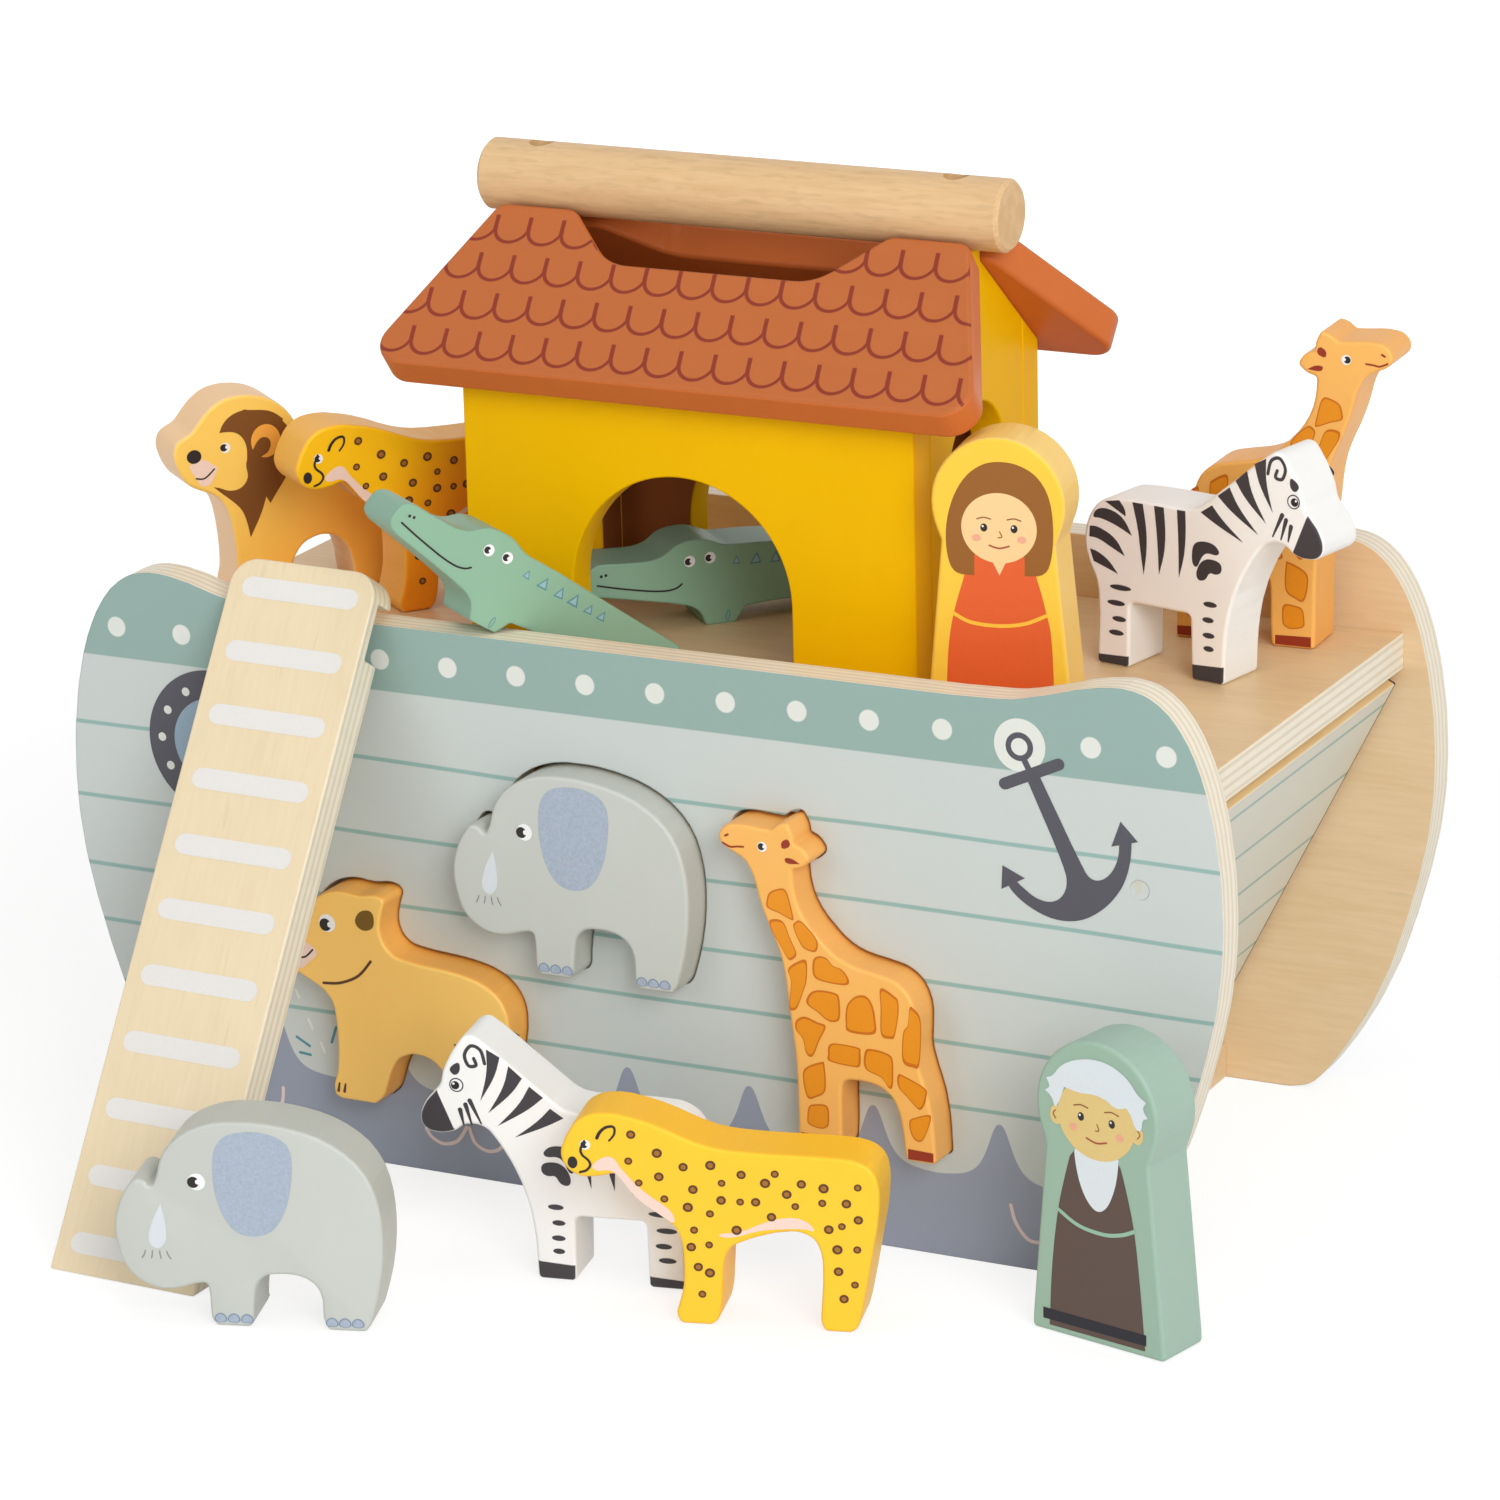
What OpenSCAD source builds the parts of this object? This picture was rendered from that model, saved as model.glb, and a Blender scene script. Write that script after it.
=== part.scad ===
// Wooden ark play set: a posting-toy ark with a house, a gangplank,
// two people and twelve animals. Millimetres, +Z up.
// X runs bow (-) to stern (+), Y runs front (-) to back (+), the table is z = 0.
// The origin is on the table under the middle of the hull.

/* [Hull] */
// length of the hull sides
hull_length = 400; // [380:2:420]
// width over the outer faces of the hull sides
hull_width = 190; // [184:1:200]
// thickness of the plywood panels
ply = 12; // [11:0.25:12.5]
// height of the hull rim amidships
rim_height = 181; // [179:0.5:184]
// height of the deck's upper face
deck_top = 160; // [158:0.5:161]
// length of the deck
deck_length = 378; // [366:1:380]
// distance from the middle to each end of the base board
base_reach = 128; // [124:1:132]
// gap around an animal in its cut-out
slot_gap = 0.8; // [0.5:0.1:1.2]
// how far the posted animals stand out of the hull
slot_proud = 11; // [8:0.5:12]

/* [Stern flap] */
// lean of the end boards from upright, in degrees
flap_lean = 27; // [25:0.5:28]
// thickness of the end boards
flap_thick = 10; // [9:0.25:10]
// pivot distance from the middle of the hull
flap_pivot_x = 173.2; // [172:0.2:174]
// pivot distance below the deck's upper face
flap_pivot_drop = 32.8; // [32.8:0.2:34]
// board above the pivot
flap_above = 20.5; // [18:0.5:20.5]
// board below the pivot
flap_below = 126; // [120:1:126]
// running gap at each side of the flap
flap_gap = 1; // [0.6:0.1:2]
// diameter of the pivot pins
pin_diameter = 6; // [5:0.5:6]

/* [House] */
// length of the front and back walls
house_length = 157; // [150:1:160]
// depth over the front and back walls
house_depth = 94; // [90:1:98]
// half the width of the big arched doors
door_half = 38.3; // [34:0.5:40]
// height of the big doors over the deck
door_height = 64.5; // [60:0.5:68]
// sideways place of the big doors
door_shift = -2.5; // [-4:0.5:0]
// half the width of the gable doors
gable_door_half = 21; // [17:0.5:23]
// height of the gable doors over the deck
gable_door_height = 85; // [78:0.5:88]

/* [Roof] */
// pitch of the roof, in degrees
roof_pitch = 39; // [37:0.5:40]
// height of the underside ridge line over the deck
roof_rise = 133; // [131:0.5:135]
// from the ridge line down to the top edge of a board
roof_start = 5.4; // [5:0.2:7]
// from the ridge line down to the eaves edge
roof_run = 71; // [68:0.5:74]
// half the length of a board at its top edge
roof_top_half = 82.2; // [80:0.5:86]
// half the length of a board at the eaves
roof_eaves_half = 106.2; // [100:0.5:108]
// depth of the finger cut-out in the front board
finger_depth = 20; // [16:0.5:24]
// how much shallower the back board's cut-out is
finger_ease = 2.5; // [0:0.5:4]
// half the length of the finger cut-out at the top edge
finger_half = 55; // [50:0.5:58]

/* [Handle] */
// diameter of the carrying handle
handle_diameter = 23; // [21:0.5:23]
// length of the carrying handle
handle_length = 182; // [176:1:190]
// bevel on the handle's ends
handle_bevel = 1.2; // [0.5:0.1:2]
// height of the handle's middle line over the deck
handle_height = 145.3; // [145.3:0.2:147]

/* [Gangplank] */
// width of the gangplank
plank_width = 53.4; // [46:0.2:56]
// thickness of the gangplank
plank_thick = 12; // [11:0.25:12]
// slope of the gangplank, in degrees
plank_slope = 58.2; // [57.6:0.2:58.6]
// turn of the gangplank about the upright, in degrees
plank_turn = 2.2; // [1:0.2:2.4]
// how far the gangplank's top face passes over the rim's outer corner
plank_over = 6.8; // [6.8:0.1:7.4]
// length of the gangplank past the rim's outer corner
plank_past = 15; // [14:0.5:18]
// wood left over the hook's notch
notch_web = 4.5; // [4:0.1:4.5]

/* [Figures] */
// thickness of all the figures
figure_thick = 20; // [18:0.5:20.5]

/* [Hidden] */
$fn = 64;

half_len = hull_length / 2;
half_wid = hull_width / 2;
inner = half_wid - ply;
deck_under = deck_top - ply;
dowel = 6;
peg_fit = 0.1;
pivot_z = deck_top - flap_pivot_drop;
wall_out = house_depth / 2;
wall_in = wall_out - ply;
gable_mid = house_length / 2 - ply / 2;
ridge_z = deck_top + roof_rise;
handle_z = deck_top + handle_height;
flat_r = 40;
plank_x = -110.7;
hook_gap = 6.2;
notch_length = 18.2;
seat_gap = 0.3;

// colours
WOOD = [0.91, 0.80, 0.62];
PALE = [0.82, 0.84, 0.79];
TEAL = [0.60, 0.71, 0.67];
YELLOW = [0.90, 0.69, 0.05];
TERRACOTTA = [0.80, 0.47, 0.26];
STEEL = [0.70, 0.70, 0.72];
GREY = [0.80, 0.81, 0.78];
ORANGE = [0.95, 0.70, 0.33];
GOLD = [0.99, 0.80, 0.25];
WHITE = [0.93, 0.93, 0.92];
SAGE = [0.56, 0.72, 0.61];

// outline helpers: a corner is [x, z] or [x, z, radius]; corners with no
// radius are eased as far as their neighbours allow
function xy(p) = [p[0], p[1]];
function unit(v) = v / norm(v);
function corner(p, q, s, r) =
    let (u = unit(p - q), v = unit(s - q),
         half = acos(max(-1, min(1, u * v))) / 2)
    half > 89.2 ? [q] :
    let (t = min(r / tan(half), 0.46 * norm(p - q), 0.46 * norm(s - q)),
         rr = t * tan(half),
         c = q + unit(u + v) * rr / sin(half),
         a = q + u * t - c,
         start = atan2(a[1], a[0]),
         way = (u[0] * v[1] - u[1] * v[0]) > 0 ? -1 : 1,
         sweep = 180 - 2 * half,
         n = max(1, ceil(sweep / 11)))
    [for (i = [0:n]) c + rr * [cos(start + way * sweep * i / n), sin(start + way * sweep * i / n)]];
function eased(pts) =
    let (n = len(pts))
    [for (i = [0:n - 1])
        each corner(xy(pts[(i + n - 1) % n]), xy(pts[i]), xy(pts[(i + 1) % n]),
                    pts[i][2] == undef ? flat_r : pts[i][2])];
function turned(v) = [v[1], -v[0]];
function area(p) =
    let (n = len(p)) [for (i = 0, s = 0; i < n; s = s + p[i][0] * p[(i + 1) % n][1]
        - p[(i + 1) % n][0] * p[i][1], i = i + 1) s][n - 1];
function grown(p, d) =
    let (n = len(p), w = area(p) > 0 ? 1 : -1)
    [for (i = [0:n - 1])
        let (a = w * turned(unit(p[i] - p[(i + n - 1) % n])),
             b = w * turned(unit(p[(i + 1) % n] - p[i])))
        p[i] + d * (a + b) / (1 + a * b)];
function flipped(pts) = [for (p = pts) [-p[0], p[1]]];
function scaled(pts, k) = [for (p = pts) p * k];
function moved(pts, v) = [for (p = pts) p + v];

// outlines of the sawn figures, facing -x, feet on z = 0
elephant_line = eased([
    [-53, 28], [-52.4, 35], [-49.6, 42], [-46, 46.6], [-42.8, 46.2], [-40.8, 43.6, 1.2],
    [-39, 47.2], [-37.8, 53], [-34.4, 58.4], [-28.8, 62.6], [-21.6, 65.3], [-12.5, 66.2],
    [-2.5, 65.4], [7.6, 63.3], [15.8, 59.8], [22.9, 54.4], [27.5, 47.3], [29.8, 38],
    [30.2, 28], [29.2, 17], [27, 8], [25.2, 2.2], [23.4, 0, 1.5], [12, 0, 1.5], [10.4, 3.2],
    [10.5, 10], [9, 14], [5, 16.8], [-0.5, 17.6], [-6.6, 16.9], [-9.5, 14], [-10.5, 8.8],
    [-10.8, 1.8], [-12.2, 0, 1.5], [-22.4, 0, 1.5], [-24.2, 2.2], [-24.4, 10.8],
    [-24.9, 13.7, 1.5], [-28.8, 13.1], [-34, 11.2], [-40, 10.9], [-46.2, 13.5], [-50.6, 18.6]]);
lioness_line = eased([
    [-40.5, 55.5], [-44.8, 52], [-46.4, 48.2], [-45.3, 43.8], [-42, 40.8], [-37, 38.8],
    [-32.3, 36.2], [-29.2, 32.6], [-28.2, 26], [-28, 17], [-28.6, 9], [-30.3, 4.6],
    [-29.8, 1, 1.5], [-27.2, 0, 2], [-15, 0, 2], [-11.8, 2.6], [-10.3, 7], [-8.3, 13],
    [-5.5, 17], [0, 19.2], [6, 18.2], [10, 15], [12, 10], [12.4, 4], [13, 0, 1.5], [26, 0, 2],
    [28.7, 3], [30.2, 11], [33.2, 20], [35.3, 29], [34.8, 37.3], [31.2, 43.3], [24, 47.3],
    [14, 49], [2, 49.8], [-5.5, 51], [-9.2, 54.2], [-10.8, 59.2], [-9.8, 65], [-8, 69.6, 2],
    [-12, 70.9], [-18, 69.7], [-25, 70.8], [-31.4, 69], [-36.4, 65], [-39.4, 60]]);
lion_line = eased([
    [-48.8, 56], [-49.8, 51.8], [-48, 46], [-44.8, 41.3], [-40, 39], [-35, 36.6], [-32, 32],
    [-30.5, 25], [-29.6, 16], [-29.6, 8], [-30.8, 4.2], [-30.2, 1, 1.5], [-27.6, 0, 2],
    [-15, 0, 2], [-12.3, 2.5], [-11, 8], [-9.4, 13], [-6, 17.4], [0, 19.4], [5.2, 18.4],
    [8.7, 15], [10.6, 9.5], [11, 4], [11.8, 0, 1.5], [25.4, 0, 2], [28.7, 3], [30.2, 11],
    [33.2, 20], [35.3, 29], [34.8, 37.3], [31.2, 43.3], [24, 47.3], [14, 49], [4, 49.8],
    [-2.8, 51.4], [-6, 55.8], [-8.2, 61], [-12.4, 65.6], [-18.4, 69], [-26, 70.2],
    [-32.4, 69.3], [-37.4, 66], [-40.8, 62], [-43.2, 59], [-46, 57.9]]);
giraffe_line = eased([
    [-24.5, 0, 1.5], [-10, 0, 1.5], [-9.5, 6], [-9.5, 17.7], [-9, 23, 4], [-3, 23.8], [3.2, 23],
    [7.7, 19.9], [10, 14.8], [11, 7.7], [11.6, 1.8], [12.4, 0, 1.2], [22.2, 0, 1.5], [21.8, 8],
    [21.2, 16], [19.6, 23], [17.1, 30], [15.8, 36], [16.5, 43], [16.2, 49], [13.7, 54.6],
    [9.1, 58.1], [2, 59.5], [-5, 60.6], [-10.8, 63.1], [-16.3, 68], [-20.8, 73.4],
    [-23.5, 79], [-24.6, 85], [-24.6, 89, 1.5], [-21.3, 89.8], [-18.4, 92.6, 1.6],
    [-20.3, 95.9], [-23.9, 97.3, 1.2], [-24.2, 100.3], [-26.1, 103.8, 1.4], [-29.3, 103],
    [-31.6, 100.9, 2], [-35, 101], [-42, 101.6], [-46.8, 100.9], [-49.4, 98.4], [-49.7, 95.6],
    [-47.6, 93.2], [-44, 91.8], [-40.6, 89.8], [-38.2, 85.6], [-36.7, 79.6], [-34.7, 73.1],
    [-31.7, 66.6], [-29.2, 60.6], [-27.9, 53.6], [-27.1, 45.6], [-26.1, 37.6], [-25.1, 29.6],
    [-24.6, 19.6], [-24.6, 7.7]]);
zebra_line = eased([
    [-59.9, 51.2], [-59.7, 47.8], [-57.4, 45.6], [-52.7, 45], [-48.6, 46.2], [-46.1, 48.5],
    [-41.7, 48.9], [-38.4, 47.6], [-36, 44.6], [-32.7, 40], [-29.3, 33.4], [-26.8, 27],
    [-25.2, 20], [-24.2, 12], [-23.9, 4], [-23.7, 0, 1.5], [-11.6, 0, 1.5], [-11.4, 10],
    [-11.2, 21.2, 2], [11.2, 21.4, 2], [11.4, 10], [11.6, 0, 1.5], [23.8, 0, 1.5], [23.4, 9],
    [23, 20], [24, 27.4], [27, 32.6], [28.8, 39.6], [27.2, 47], [23.6, 52.2], [18.9, 54.6],
    [11.8, 55.1], [1.8, 55.2], [-9.5, 55], [-14.2, 56], [-17.9, 58.8], [-27.7, 66.8],
    [-37.7, 74.8], [-42.3, 77.9], [-45.2, 77.3], [-47.7, 74], [-50.6, 69.2], [-52.4, 65],
    [-53, 61.2], [-55, 58.6], [-57.9, 55.7]]);
cheetah_line = eased([
    [-27, 0, 2], [-28.4, 3], [-27.1, 7], [-25.8, 12], [-25.6, 20], [-26, 26], [-27.4, 30.3],
    [-30.6, 33.1], [-35, 36.8], [-39.5, 41.3], [-43, 45.4], [-46, 47.2], [-50, 45.9],
    [-56, 45.3], [-59.8, 47], [-62, 50], [-62.6, 53], [-61.6, 56.1], [-60, 59.7],
    [-57.5, 63.3], [-53.5, 65.8], [-47.5, 66.5], [-41, 65.6], [-32, 62.9], [-24.5, 59.6],
    [-18, 57.3], [-11, 56.3], [0, 55.9], [15, 55.8], [25.2, 55.5], [30.3, 54], [33.4, 51],
    [34.6, 46], [34.2, 37], [32.2, 26], [30.2, 15], [28.2, 5], [27, 1.2], [25, 0, 2],
    [17, 0, 2], [15.8, 3], [16.3, 10], [16.9, 18], [16.5, 25], [14.5, 29.5], [10, 31.5],
    [5, 31.2], [-1, 29.7], [-7, 27.5], [-11.4, 25.2], [-13.2, 21], [-13.7, 13], [-14.2, 6],
    [-15.4, 1.6], [-17.4, 0, 2]]);
crocodile_line = eased([
    [-45.2, 19.6], [-45.6, 16], [-43, 13.8], [-36, 12.5], [-27, 10.8], [-17, 8.8], [-10, 7],
    [-7, 4.9], [-5.8, 2], [-5, 0, 1.2], [5, 0, 1.2], [6.6, 2.4], [8.2, 5, 2], [20, 5.8],
    [32, 5.4, 2], [33.8, 2.5], [35, 0, 1.2], [44, 0, 1.2], [45.4, 3], [48, 7], [56, 12.5],
    [66, 18], [67.8, 20.4], [66.2, 22.2, 1.5], [40, 23.9], [15, 25.7], [2, 26.1],
    [-1.5, 27.6], [-5, 28.9], [-11, 28.9], [-15, 27.8], [-19, 24.5], [-24, 23.4], [-34, 23.9],
    [-41, 24.4], [-44.2, 22.8]]);
person_line = eased(concat(
    [[-24.1, 0, 1.5], [24.1, 0, 1.5], [24.2, 3], [18.8, 60.5, 2]],
    [for (a = [-28:16:208]) [22.2 * cos(a), 73.2 + 22.2 * sin(a)]],
    [[-18.8, 60.5, 2], [-24.2, 3]]));

// places of the posted animals on the front side, middle of the feet
elephant_slot = [-2.5, 77.3];
lioness_slot = [-72, 25];
giraffe_slot = [88, 34.3];
// places of the empty cut-outs on the back side
zebra_slot = [84, 56];
cheetah_slot = [-54, 72];
crocodile_slot = [-26, 24];

// hull outline: right half from the rim down to the base
function hull_half() = [
    [half_len - 88, rim_height], [half_len - 68, rim_height + 0.6], [half_len - 54, rim_height + 4],
    [half_len - 43, rim_height + 7.3], [half_len - 32, rim_height + 8.5],
    [half_len - 24, rim_height + 6.8], [half_len - 16.8, rim_height + 1.7],
    [half_len - 10.8, 174], [half_len - 6, 162.5], [half_len - 2.6, 148], [half_len - 0.6, 133],
    [half_len, 119], [half_len - 0.4, 106], [half_len - 2.1, 92], [half_len - 5.3, 77.5],
    [half_len - 9.6, 62], [half_len - 14.9, 46], [half_len - 21.8, 30.8], [half_len - 29.3, 18],
    [half_len - 36.3, 8], [half_len - 42, 1.6], [half_len - 50, 0, 8]];
function hull_line() =
    let (h = hull_half(), n = len(h))
    eased(concat(h, [for (i = [n - 1:-1:0]) [-h[i][0], h[i][1], h[i][2]]]));

// a board standing upright in the XZ plane, its front face at y = 0
module upright(thick) {
    translate([0, thick, 0]) rotate([90, 0, 0]) linear_extrude(thick) children();
}

// a sawn figure: front face through the given point, turned about the upright
module figure(line, place, turn) {
    translate(place) rotate([0, 0, turn]) upright(figure_thick) polygon(line);
}

// a round bar along Y from y0 to y1
module bar_y(d, y0, y1) {
    translate([0, y1, 0]) rotate([90, 0, 0]) cylinder(d = d, h = y1 - y0);
}

// places of the joining dowels, [x, z]
deck_joints = [[-150, deck_top - ply / 2], [-60, deck_top - ply / 2],
               [60, deck_top - ply / 2], [150, deck_top - ply / 2]];
base_joints = [[-100, ply / 2], [100, ply / 2]];
bow_joints = [for (s = [-4, 96])
    [-(flap_pivot_x - s * sin(flap_lean)), pivot_z - s * cos(flap_lean)]];
all_joints = concat(deck_joints, base_joints, bow_joints);
peg_half = 12;
peg_in_side = 8;

// holes for the joining dowels, both sides
module joint_holes(list) {
    for (j = list, s = [-1, 1])
        translate([j[0], s * (inner - peg_half + peg_in_side), j[1]])
            bar_y(dowel + peg_fit, -peg_half, peg_half);
}

module pivot_holes(d) {
    for (s = [-1, 1])
        translate([flap_pivot_x, s * half_wid, pivot_z]) bar_y(d, -ply - 12, ply + 12);
}

module hull_side_front() {
    color(PALE) difference() {
        translate([0, -half_wid, 0]) upright(ply) difference() {
            polygon(hull_line());
            polygon(grown(moved(elephant_line, elephant_slot), slot_gap));
            polygon(grown(moved(lioness_line, lioness_slot), slot_gap));
            polygon(grown(moved(giraffe_line, giraffe_slot), slot_gap));
        }
        joint_holes(all_joints);
        pivot_holes(pin_diameter + peg_fit);
    }
}

module hull_side_back() {
    color(PALE) difference() {
        translate([0, inner, 0]) upright(ply) difference() {
            polygon(hull_line());
            polygon(grown(moved(flipped(zebra_line), zebra_slot), slot_gap));
            polygon(grown(moved(flipped(cheetah_line), cheetah_slot), slot_gap));
            polygon(grown(moved(flipped(crocodile_line), crocodile_slot), slot_gap));
        }
        joint_holes(all_joints);
        pivot_holes(pin_diameter + peg_fit);
    }
}

// places of the pegs under the house, [x, y]
house_joints = [for (x = [-gable_mid, gable_mid], y = [-28.5, 28.5]) [x, y]];

module peg_holes() {
    for (p = house_joints)
        translate([p[0], p[1], deck_top - 9]) cylinder(d = dowel + peg_fit, h = 20);
}

module deck() {
    color(WOOD) difference() {
        translate([-deck_length / 2, -inner, deck_under]) cube([deck_length, 2 * inner, ply]);
        joint_holes(deck_joints);
        peg_holes();
    }
}

module base_board() {
    color(WOOD) difference() {
        translate([-base_reach, -inner, 0]) cube([2 * base_reach, 2 * inner, ply]);
        joint_holes(base_joints);
    }
}

// an end board in place at the stern, its sides set in by the given gap
module end_board(gap) {
    translate([flap_pivot_x, 0, pivot_z]) rotate([0, flap_lean, 0])
        translate([-flap_thick / 2, -inner + gap, -flap_below])
            cube([flap_thick, 2 * (inner - gap), flap_below + flap_above]);
}

module bow_board() {
    color(PALE) difference() {
        mirror([1, 0, 0]) end_board(0);
        joint_holes(bow_joints);
    }
}

module stern_flap() {
    color(PALE) difference() {
        end_board(flap_gap);
        pivot_holes(pin_diameter + 0.6);
    }
}

module hull_dowels() {
    color(WOOD) for (j = all_joints, s = [-1, 1])
        translate([j[0], s * (inner - peg_half + peg_in_side), j[1]])
            bar_y(dowel, -peg_half + 0.5, peg_half - 0.5);
}

// the pivot pins show as plugs, flush with the hull's outer faces
module flap_pins() {
    color(WOOD) for (s = [-1, 1]) mirror([0, s > 0 ? 1 : 0, 0])
        translate([flap_pivot_x, 0, pivot_z]) bar_y(pin_diameter, -half_wid, -inner + 10);
}

// arched doorway outline standing on z = 0
module doorway(half, height) {
    translate([-half, -1]) square([2 * half, height - half + 1]);
    translate([0, height - half]) circle(half, $fn = 96);
}

// front or back wall, its top edge cut to the roof's slope
module long_wall() {
    drop = tan(roof_pitch);
    difference() {
        translate([-house_length / 2, 0, 0]) rotate([90, 0, 90]) linear_extrude(house_length)
            polygon([[-wall_out, deck_top], [-wall_in, deck_top],
                     [-wall_in, ridge_z - wall_in * drop], [-wall_out, ridge_z - wall_out * drop]]);
        translate([door_shift, -wall_out - 1, deck_top]) upright(ply + 2)
            doorway(door_half, door_height);
    }
}

module house_front() {
    color(YELLOW) long_wall();
}

module house_back() {
    color(YELLOW) mirror([0, 1, 0]) long_wall();
}

// gable between the long walls, with a neck that cradles the handle
module gable() {
    drop = tan(roof_pitch);
    neck = roof_start * cos(roof_pitch) - 0.3;
    difference() {
        translate([gable_mid - ply / 2, 0, 0]) rotate([90, 0, 90]) linear_extrude(ply) difference() {
            polygon([[-wall_in, deck_top], [wall_in, deck_top], [wall_in, ridge_z - wall_in * drop],
                     [neck, ridge_z - neck * drop], [neck, handle_z - 8], [-neck, handle_z - 8],
                     [-neck, ridge_z - neck * drop], [-wall_in, ridge_z - wall_in * drop]]);
            translate([0, deck_top]) doorway(gable_door_half, gable_door_height);
            translate([0, handle_z]) circle(d = handle_diameter, $fn = 96);
        }
        peg_holes();
        translate([gable_mid, 0, handle_z - 38]) cylinder(d = 3.6, h = 40);
    }
}

module house_gable_stern() {
    color(YELLOW) gable();
}

module house_gable_bow() {
    color(YELLOW) mirror([1, 0, 0]) gable();
}

module house_pegs() {
    color(WOOD) for (p = house_joints)
        translate([p[0], p[1], deck_top - 8.5]) cylinder(d = dowel, h = 19);
}

// a roof board lying in its own plane: ridge line on y = 0, eaves towards -y
module roof_board(depth) {
    low = roof_start + depth;
    right = [[finger_half + 6, -roof_start, 4], [roof_top_half, -roof_start, 5],
             [roof_eaves_half, -roof_run, 9]];
    dip = [[finger_half - 19, -low, 16], [finger_half, -roof_start, 7]];
    line = concat(right, [for (i = [2:-1:0]) [-right[i][0], right[i][1], right[i][2]]],
                  [for (i = [1:-1:0]) [-dip[i][0], dip[i][1], dip[i][2]]], dip);
    translate([0, 0, ridge_z]) rotate([roof_pitch, 0, 0]) linear_extrude(ply) polygon(eased(line));
}

module roof_front() {
    color(TERRACOTTA) roof_board(finger_depth);
}

module roof_back() {
    color(TERRACOTTA) mirror([0, 1, 0]) roof_board(finger_depth - finger_ease);
}

module ridge_handle() {
    r = handle_diameter / 2;
    h = handle_length / 2;
    color(WOOD) difference() {
        translate([0, 0, handle_z]) rotate([0, 90, 0]) rotate_extrude($fn = 96)
            polygon([[0, -h], [r - handle_bevel, -h], [r, -h + handle_bevel],
                     [r, h - handle_bevel], [r - handle_bevel, h], [0, h]]);
        for (s = [-1, 1]) translate([s * gable_mid, 0, handle_z]) {
            translate([0, 0, 2]) cylinder(d = 8.2, h = r);
            translate([0, 0, -r - 1]) cylinder(d = 4.4, h = r + 4);
        }
    }
}

// cross-recessed screws that hold the handle on the gables
module ridge_screws() {
    color(STEEL) for (s = [-1, 1]) translate([s * gable_mid, 0, handle_z + 2]) difference() {
        rotate_extrude() polygon([[0, 2.6], [3, 2.6], [3.7, 1.6], [3.7, 0], [1.75, 0],
                                  [1.75, -36], [0, -38.5]]);
        for (a = [0, 90]) rotate([0, 0, a]) translate([-2.2, -0.45, 1.4]) cube([4.4, 0.9, 2]);
    }
}

// gangplank: lies with its top face on z = 0 and its foot edge on y = 0, then is
// leaned up; its hook rests on the rim, and its foot is cut level with the table
module gangplank() {
    rim_along = plank_over * cos(plank_slope) / sin(plank_slope) + rim_height / sin(plank_slope);
    foot_out = plank_over / sin(plank_slope) + rim_height * cos(plank_slope) / sin(plank_slope);
    end = rim_along + plank_past;
    half = plank_width / 2;
    line = eased([[-half, -plank_thick, 1], [half, -plank_thick, 1], [half, end, 9], [-half, end, 9]]);
    color(WOOD) translate([plank_x, -half_wid, 0]) rotate([0, 0, -plank_turn]) translate([0, -foot_out, 0])
        rotate([plank_slope, 0, 0]) difference() {
            translate([0, 0, -plank_thick]) linear_extrude(plank_thick) polygon(line);
            translate([-plank_width, rim_along + hook_gap - notch_length, -plank_thick - 1])
                cube([2 * plank_width, notch_length, plank_thick - notch_web + 1]);
            rotate([-plank_slope, 0, 0]) translate([-plank_width, -50, -50])
                cube([2 * plank_width, 100, 50]);
        }
}

// a figure posted through its cut-out, its feet just over the cut-out's lower edge
module posted(line, slot) {
    figure(line, [slot[0], -half_wid - slot_proud, slot[1] - slot_gap + seat_gap], 0);
}

module elephant_posted() {
    color(GREY) posted(elephant_line, elephant_slot);
}

module lioness_posted() {
    color(ORANGE) posted(lioness_line, lioness_slot);
}

module giraffe_posted() {
    color(ORANGE) posted(giraffe_line, giraffe_slot);
}

module lion() {
    color(ORANGE) figure(lion_line, [-158.1, -4.5, deck_top], 50);
}

module cheetah_deck() {
    color(GOLD) figure(cheetah_line, [-103.8, 3.6, deck_top], 53);
}

// leans with its fore foot on the rim and its hind foot on the deck
module crocodile_rim() {
    foot_heel = 5;
    heel_run = 32.86;
    tilt = atan((rim_height - deck_top) / heel_run);
    color(SAGE) translate([-48.4, -93.1, rim_height + foot_heel * sin(tilt) + seat_gap])
        rotate([0, 0, 53.5]) rotate([0, tilt, 0]) upright(figure_thick) polygon(crocodile_line);
}

module crocodile_house() {
    color(SAGE) figure(crocodile_line, [-18.4, 10.6, deck_top], 46);
}

module woman() {
    color(GOLD) figure(scaled(person_line, 0.95), [110.5, -56, deck_top], 10);
}

module zebra_deck() {
    color(WHITE) figure(flipped(zebra_line), [134.8, 11.5, deck_top], -10.8);
}

module giraffe_deck() {
    color(ORANGE) figure(flipped(giraffe_line), [145.5, 52.5, deck_top], 3);
}

module elephant_ground() {
    color(GREY) figure(elephant_line, [-49, -225.8, 0], 17);
}

module zebra_ground() {
    color(WHITE) figure(zebra_line, [24.4, -156.6, 0], 11);
}

module cheetah_ground() {
    color(GOLD) figure(cheetah_line, [83.4, -168.4, 0], 15);
}

module man() {
    color(SAGE) figure(person_line, [178.5, -140.6, 0], -12.7);
}

hull_side_front();
hull_side_back();
deck();
base_board();
bow_board();
hull_dowels();
flap_pins();
stern_flap();
house_front();
house_back();
house_gable_bow();
house_gable_stern();
house_pegs();
roof_front();
roof_back();
ridge_handle();
ridge_screws();
gangplank();
elephant_posted();
lioness_posted();
giraffe_posted();
lion();
cheetah_deck();
crocodile_rim();
crocodile_house();
woman();
zebra_deck();
giraffe_deck();
elephant_ground();
zebra_ground();
cheetah_ground();
man();
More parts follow.
